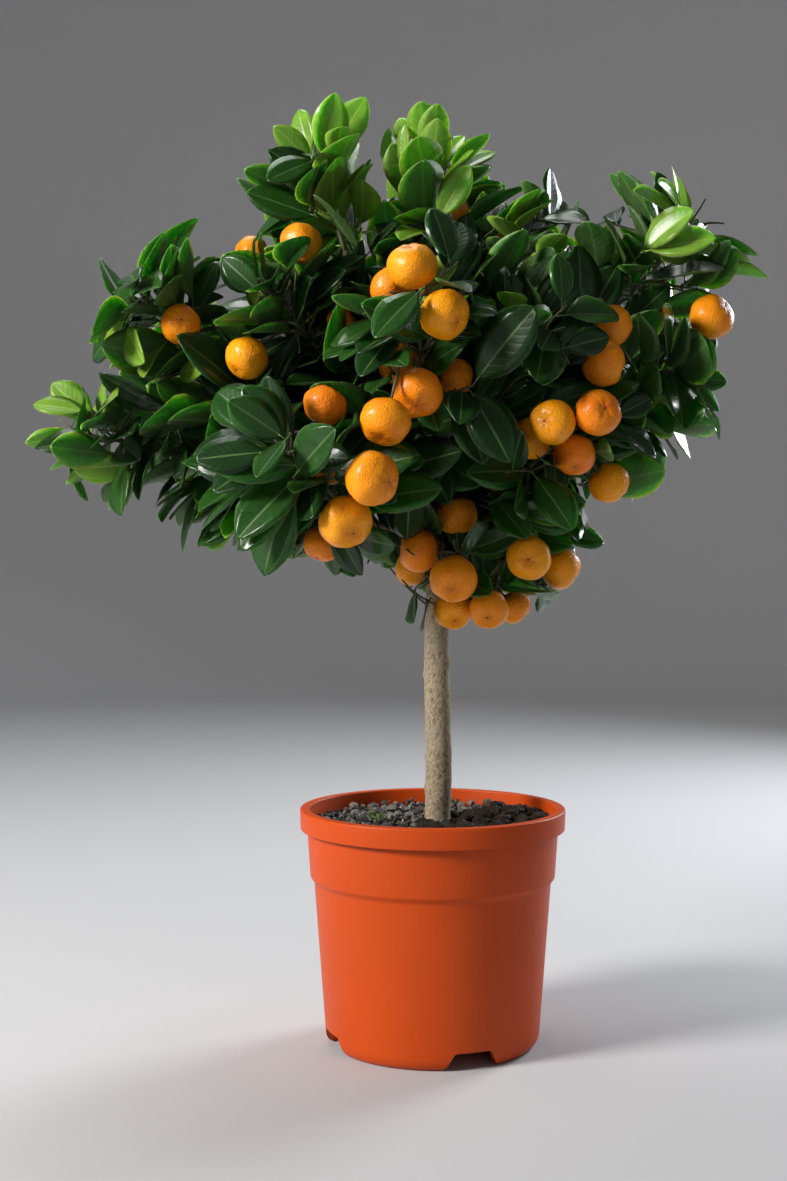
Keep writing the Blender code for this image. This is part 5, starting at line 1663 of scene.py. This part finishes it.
class Peel:
    """The form of one fruit. Its polar angle is 0 at the blossom end, and pi under the stalk."""

    def __init__(self, diameter, rng):
        self.radius = diameter / 2
        self.away = random_vector(rng, 0, 50)
        self.foot, self.cap = rng.uniform(0.10, 0.20), rng.uniform(0.08, 0.14)
        self.creases, self.crease_turn = rng.randint(4, 7), rng.uniform(0, 6)

    def at(self, polar, turn):
        """A point of the peel, with its dimples, creases, ribs and dents."""
        up = math.pi - polar
        way = Vector((math.sin(polar) * math.cos(turn), math.sin(polar) * math.sin(turn), math.cos(polar)))
        dip = self.foot * bell(polar, DIMPLE_WIDTH) + self.cap * bell(up, CAP_WIDTH)
        crease = CREASE_DEPTH * math.cos(self.creases * turn + self.crease_turn)
        dip += crease * bell(polar - DIMPLE_WIDTH, CREASE_WIDTH)
        swell = 1
        for height, grain in DENTS:
            swell += height * noise.noise(way * grain + self.away)
        swell -= dip
        swell += RIB_HEIGHT * math.cos(turn * RIBS) * bell(up, RIB_WIDTH)
        return Vector((way.x, way.y, way.z * FRUIT_FLATTENING)) * self.radius * swell

    def shape(self):
        """(points, faces, marks) of the whole peel. The marks are 1 in either dimple; the one at the blossom
        end guides the painted shade there.
        """
        turns = [2 * math.pi * k / FRUIT_AROUND for k in range(FRUIT_AROUND)]
        inner = [math.pi * i / FRUIT_RINGS for i in range(1, FRUIT_RINGS)]
        polars = [0, *[polar for polar in inner for _ in turns], math.pi]
        points = [self.at(polar, turn) for polar, turn in zip(polars, [0, *turns * len(inner), 0])]
        marks = [(bell(polar, 0.34), bell(math.pi - polar, 0.36), 0) for polar in polars]
        faces = []
        last = 1 + (FRUIT_RINGS - 2) * FRUIT_AROUND
        for k in range(FRUIT_AROUND):
            n = (k + 1) % FRUIT_AROUND
            faces.append((0, 1 + k, 1 + n))
            for a in range(1, last, FRUIT_AROUND):
                b = a + FRUIT_AROUND
                faces.append((a + k, b + k, b + n, a + n))
            faces.append((last + k, last + FRUIT_AROUND, last + n))
        return points, faces, marks

    def star(self):
        """(points, faces) of the calyx under the stalk: a thin star."""
        hub = self.at(math.pi, 0)
        tips = [hub - Vector((0, 0, 0.0012)), hub + Vector((0, 0, 0.0010))]
        faces = []
        for k in range(STAR_POINTS):
            edge = self.at(math.pi - STAR_REACH[k % 2] / self.radius, 2 * math.pi * k / STAR_POINTS)
            tips += [edge - Vector((0, 0, 0.0004)), edge + Vector((0, 0, 0.0005))]
            a, b = 2 + 2 * k, 2 + 2 * ((k + 1) % STAR_POINTS)
            faces += [(0, b, a), (1, a + 1, b + 1), (a, b, b + 1, a + 1)]
        return tips, faces

    def scar(self, size):
        """(points, faces) of the small scar at the blossom end."""
        hub = self.at(0, 0)
        points = [hub + Vector((0, 0, 0.0004)), hub - Vector((0, 0, 0.0008))]
        for turn in np.arange(SCAR_SIDES) * 2 * math.pi / SCAR_SIDES:
            points.append(hub + Vector((size * math.cos(turn), size * math.sin(turn), 0.0001)))
        ring = [(2 + k, 2 + (k + 1) % SCAR_SIDES) for k in range(SCAR_SIDES)]
        return points, [(0, a, b) for a, b in ring] + [(1, b, a) for a, b in ring]


def make_fruit(colours):
    """The fruit, with a dimple at each end, a green star under the stalk and a scar opposite."""
    rng = random.Random(FRUIT_SEED)
    fruit, stars, scars = Pile(), Pile(), Pile()
    for one in grow_crown().fruit:
        turn = np.array(one.way.to_track_quat("Z", "Y").to_matrix())
        centre = np.array(one.centre)
        peel = Peel(one.diameter, rng)
        points, faces, marks = peel.shape()
        fruit.add(np.array(points) @ turn.T + centre, faces, rng.choice((0, 0, 1, 2)), marks)
        for pile, (points, faces) in ((stars, peel.star()), (scars, peel.scar(rng.uniform(*SCAR_SIZES)))):
            pile.add(np.array(points) @ turn.T + centre, faces)
    base = tuple(colours.fruit)
    finishes = [
        peel_finish("peel", base, 0.6),
        peel_finish("peel_deep", scaled(base, 0.98, 0.87, 1), 0.9),
        peel_finish("peel_yellow", scaled(base, 1, 1.12, 1.2), 0.35),
    ]
    fruit.build("fruit", finishes, "foliage", mark="rind")
    stars.build("fruit_stars", [plain_finish("star_green", (0.115, 0.150, 0.040), 0.55)], "foliage")
    scars.build("fruit_scars", [plain_finish("scar_brown", (0.120, 0.060, 0.022), 0.7)], "foliage")


# The studio


SWEEP_FLAT, SWEEP_BEND, SWEEP_TOP, SWEEP_STEPS = 2.7, 1.5, 3.4, 16
SKY, SKY_STRENGTH = (0.93, 0.96, 1.0, 1), 0.14
LIT_POINT = Vector((0, 0, 0.40))
CAMERA_PLACE, CAMERA_DOWN, CAMERA_LENS = (-0.028, -1.173, 0.353), math.radians(1.45), 50

# The lamps: name, place, diameter, watts and colour
LAMPS = (
    ("key", (-1.75, -0.95, 1.25), 0.7, 70, (1.0, 0.975, 0.94)),
    ("fill", (0.9, -2.0, 0.9), 1.4, 1.6, (0.96, 0.98, 1.0)),
    ("rim", (1.20, 1.20, 0.95), 0.8, 28, (0.90, 0.95, 1.0)),
    ("top", (-0.4, 0.8, 2.0), 0.9, 12, (1.0, 1.0, 1.0)),
)


def make_stage(colours):
    """A round sweep of pale paper, soft lights, and the camera where the photo was taken from."""
    scene = bpy.context.scene
    profile = [(0, 0), (0.5, 0)]
    for i in range(SWEEP_STEPS + 1):
        turn = math.pi / 2 * i / SWEEP_STEPS
        profile.append((SWEEP_FLAT + SWEEP_BEND * math.sin(turn), SWEEP_BEND * (1 - math.cos(turn))))
    guide = turned("sweep_guide", [*profile, (SWEEP_FLAT + SWEEP_BEND, SWEEP_TOP)], 128)
    mesh = applied(guide)
    bpy.data.objects.remove(guide)
    mesh.materials.clear()
    mesh.materials.append(
        plain_finish("studio_paper", tuple(colours.floor), 0.82, 0.015, grain=4, gloss_spread=0.08)
    )
    floor = bpy.data.objects.new("studio_floor", mesh)
    scene.collection.objects.link(floor)

    scene.world = bpy.data.worlds.new("studio")
    scene.world.use_nodes = True
    sky = scene.world.node_tree.nodes["Background"].inputs
    sky["Color"].default_value, sky["Strength"].default_value = SKY, SKY_STRENGTH
    scene.view_settings.view_transform = "Standard"
    for name, spot, size, power, colour in LAMPS:
        data = bpy.data.lights.new(name, "AREA")
        data.shape = "DISK"
        data.size, data.energy, data.color = size, power, colour
        lamp = bpy.data.objects.new(name, data)
        lamp.location = spot
        lamp.rotation_euler = (LIT_POINT - Vector(spot)).to_track_quat("-Z", "Y").to_euler()
        scene.collection.objects.link(lamp)

    data = bpy.data.cameras.new("camera")
    data.lens, data.sensor_width = CAMERA_LENS, 36
    scene.camera = bpy.data.objects.new("camera", data)
    scene.camera.location = CAMERA_PLACE
    scene.camera.rotation_euler = (math.pi / 2 - CAMERA_DOWN, 0, 0)
    scene.collection.objects.link(scene.camera)


# Operators, panel and registration


class CALAMONDIN_OT_pot(bpy.types.Operator):
    """Add the nursery pot"""

    bl_idname = "calamondin.pot"
    bl_label = "Pot"
    bl_options = {"REGISTER", "UNDO"}

    def execute(self, context):
        make_pot(context.scene.calamondin_pot, context.scene.calamondin_colours)
        return {"FINISHED"}


class CALAMONDIN_OT_dressing(bpy.types.Operator):
    """Add the gravel, the compost and the moss on the soil"""

    bl_idname = "calamondin.dressing"
    bl_label = "Gravel and compost"
    bl_options = {"REGISTER", "UNDO"}

    def execute(self, context):
        make_dressing(context.scene.calamondin_dressing, context.scene.calamondin_colours)
        soil = frame["nodes"]["soil"]
        for place in soil.material_slots:
            place.material = compost_finish(context.scene.calamondin_colours.compost)
        return {"FINISHED"}


class CALAMONDIN_OT_bark(bpy.types.Operator):
    """Add the trunk and the boughs with their bark"""

    bl_idname = "calamondin.bark"
    bl_label = "Trunk and boughs"
    bl_options = {"REGISTER", "UNDO"}

    def execute(self, context):
        make_bark(context.scene.calamondin_bark, context.scene.calamondin_colours)
        return {"FINISHED"}


class CALAMONDIN_OT_twigs(bpy.types.Operator):
    """Add the twigs and the stalks of the fruit"""

    bl_idname = "calamondin.twigs"
    bl_label = "Twigs"
    bl_options = {"REGISTER", "UNDO"}

    def execute(self, context):
        make_twigs(context.scene.calamondin_colours)
        return {"FINISHED"}


class CALAMONDIN_OT_leaves(bpy.types.Operator):
    """Add the leaves"""

    bl_idname = "calamondin.leaves"
    bl_label = "Leaves"
    bl_options = {"REGISTER", "UNDO"}

    def execute(self, context):
        make_leaves(context.scene.calamondin_colours)
        return {"FINISHED"}


class CALAMONDIN_OT_fruit(bpy.types.Operator):
    """Add the fruit"""

    bl_idname = "calamondin.fruit"
    bl_label = "Fruit"
    bl_options = {"REGISTER", "UNDO"}

    def execute(self, context):
        make_fruit(context.scene.calamondin_colours)
        return {"FINISHED"}


class CALAMONDIN_OT_stage(bpy.types.Operator):
    """Add the studio floor, the lights and the camera"""

    bl_idname = "calamondin.stage"
    bl_label = "Studio"
    bl_options = {"REGISTER", "UNDO"}

    def execute(self, context):
        make_stage(context.scene.calamondin_colours)
        return {"FINISHED"}


class CALAMONDIN_PT_panel(bpy.types.Panel):
    """The calamondin tree's pieces, sizes and colours"""

    bl_label = "Calamondin tree"
    bl_space_type = "VIEW_3D"
    bl_region_type = "UI"
    bl_category = "Calamondin"

    def draw(self, context):
        layout = self.layout
        for operator in OPERATORS:
            layout.operator(operator.bl_idname)
        for name in GROUPS:
            box = layout.box()
            group = getattr(context.scene, name)
            for key in group.bl_rna.properties.keys():
                if key not in ("rna_type", "name"):
                    box.prop(group, key)


GROUPS = {
    "calamondin_pot": PotSizes,
    "calamondin_bark": BarkSizes,
    "calamondin_crown": CrownSizes,
    "calamondin_dressing": DressingSizes,
    "calamondin_colours": Colours,
}
OPERATORS = (
    CALAMONDIN_OT_pot,
    CALAMONDIN_OT_dressing,
    CALAMONDIN_OT_bark,
    CALAMONDIN_OT_twigs,
    CALAMONDIN_OT_leaves,
    CALAMONDIN_OT_fruit,
    CALAMONDIN_OT_stage,
)


def register():
    for kind in (*GROUPS.values(), *OPERATORS, CALAMONDIN_PT_panel):
        bpy.utils.register_class(kind)
    for name, kind in GROUPS.items():
        setattr(bpy.types.Scene, name, PointerProperty(type=kind))


def unregister():
    for name in GROUPS:
        delattr(bpy.types.Scene, name)
    for kind in reversed((*GROUPS.values(), *OPERATORS, CALAMONDIN_PT_panel)):
        bpy.utils.unregister_class(kind)


def main():
    register()
    bpy.ops.calamondin.pot()
    bpy.ops.calamondin.dressing()
    bpy.ops.calamondin.bark()
    bpy.ops.calamondin.twigs()
    bpy.ops.calamondin.leaves()
    bpy.ops.calamondin.fruit()
    bpy.ops.calamondin.stage()


if __name__ == "__main__":
    main()
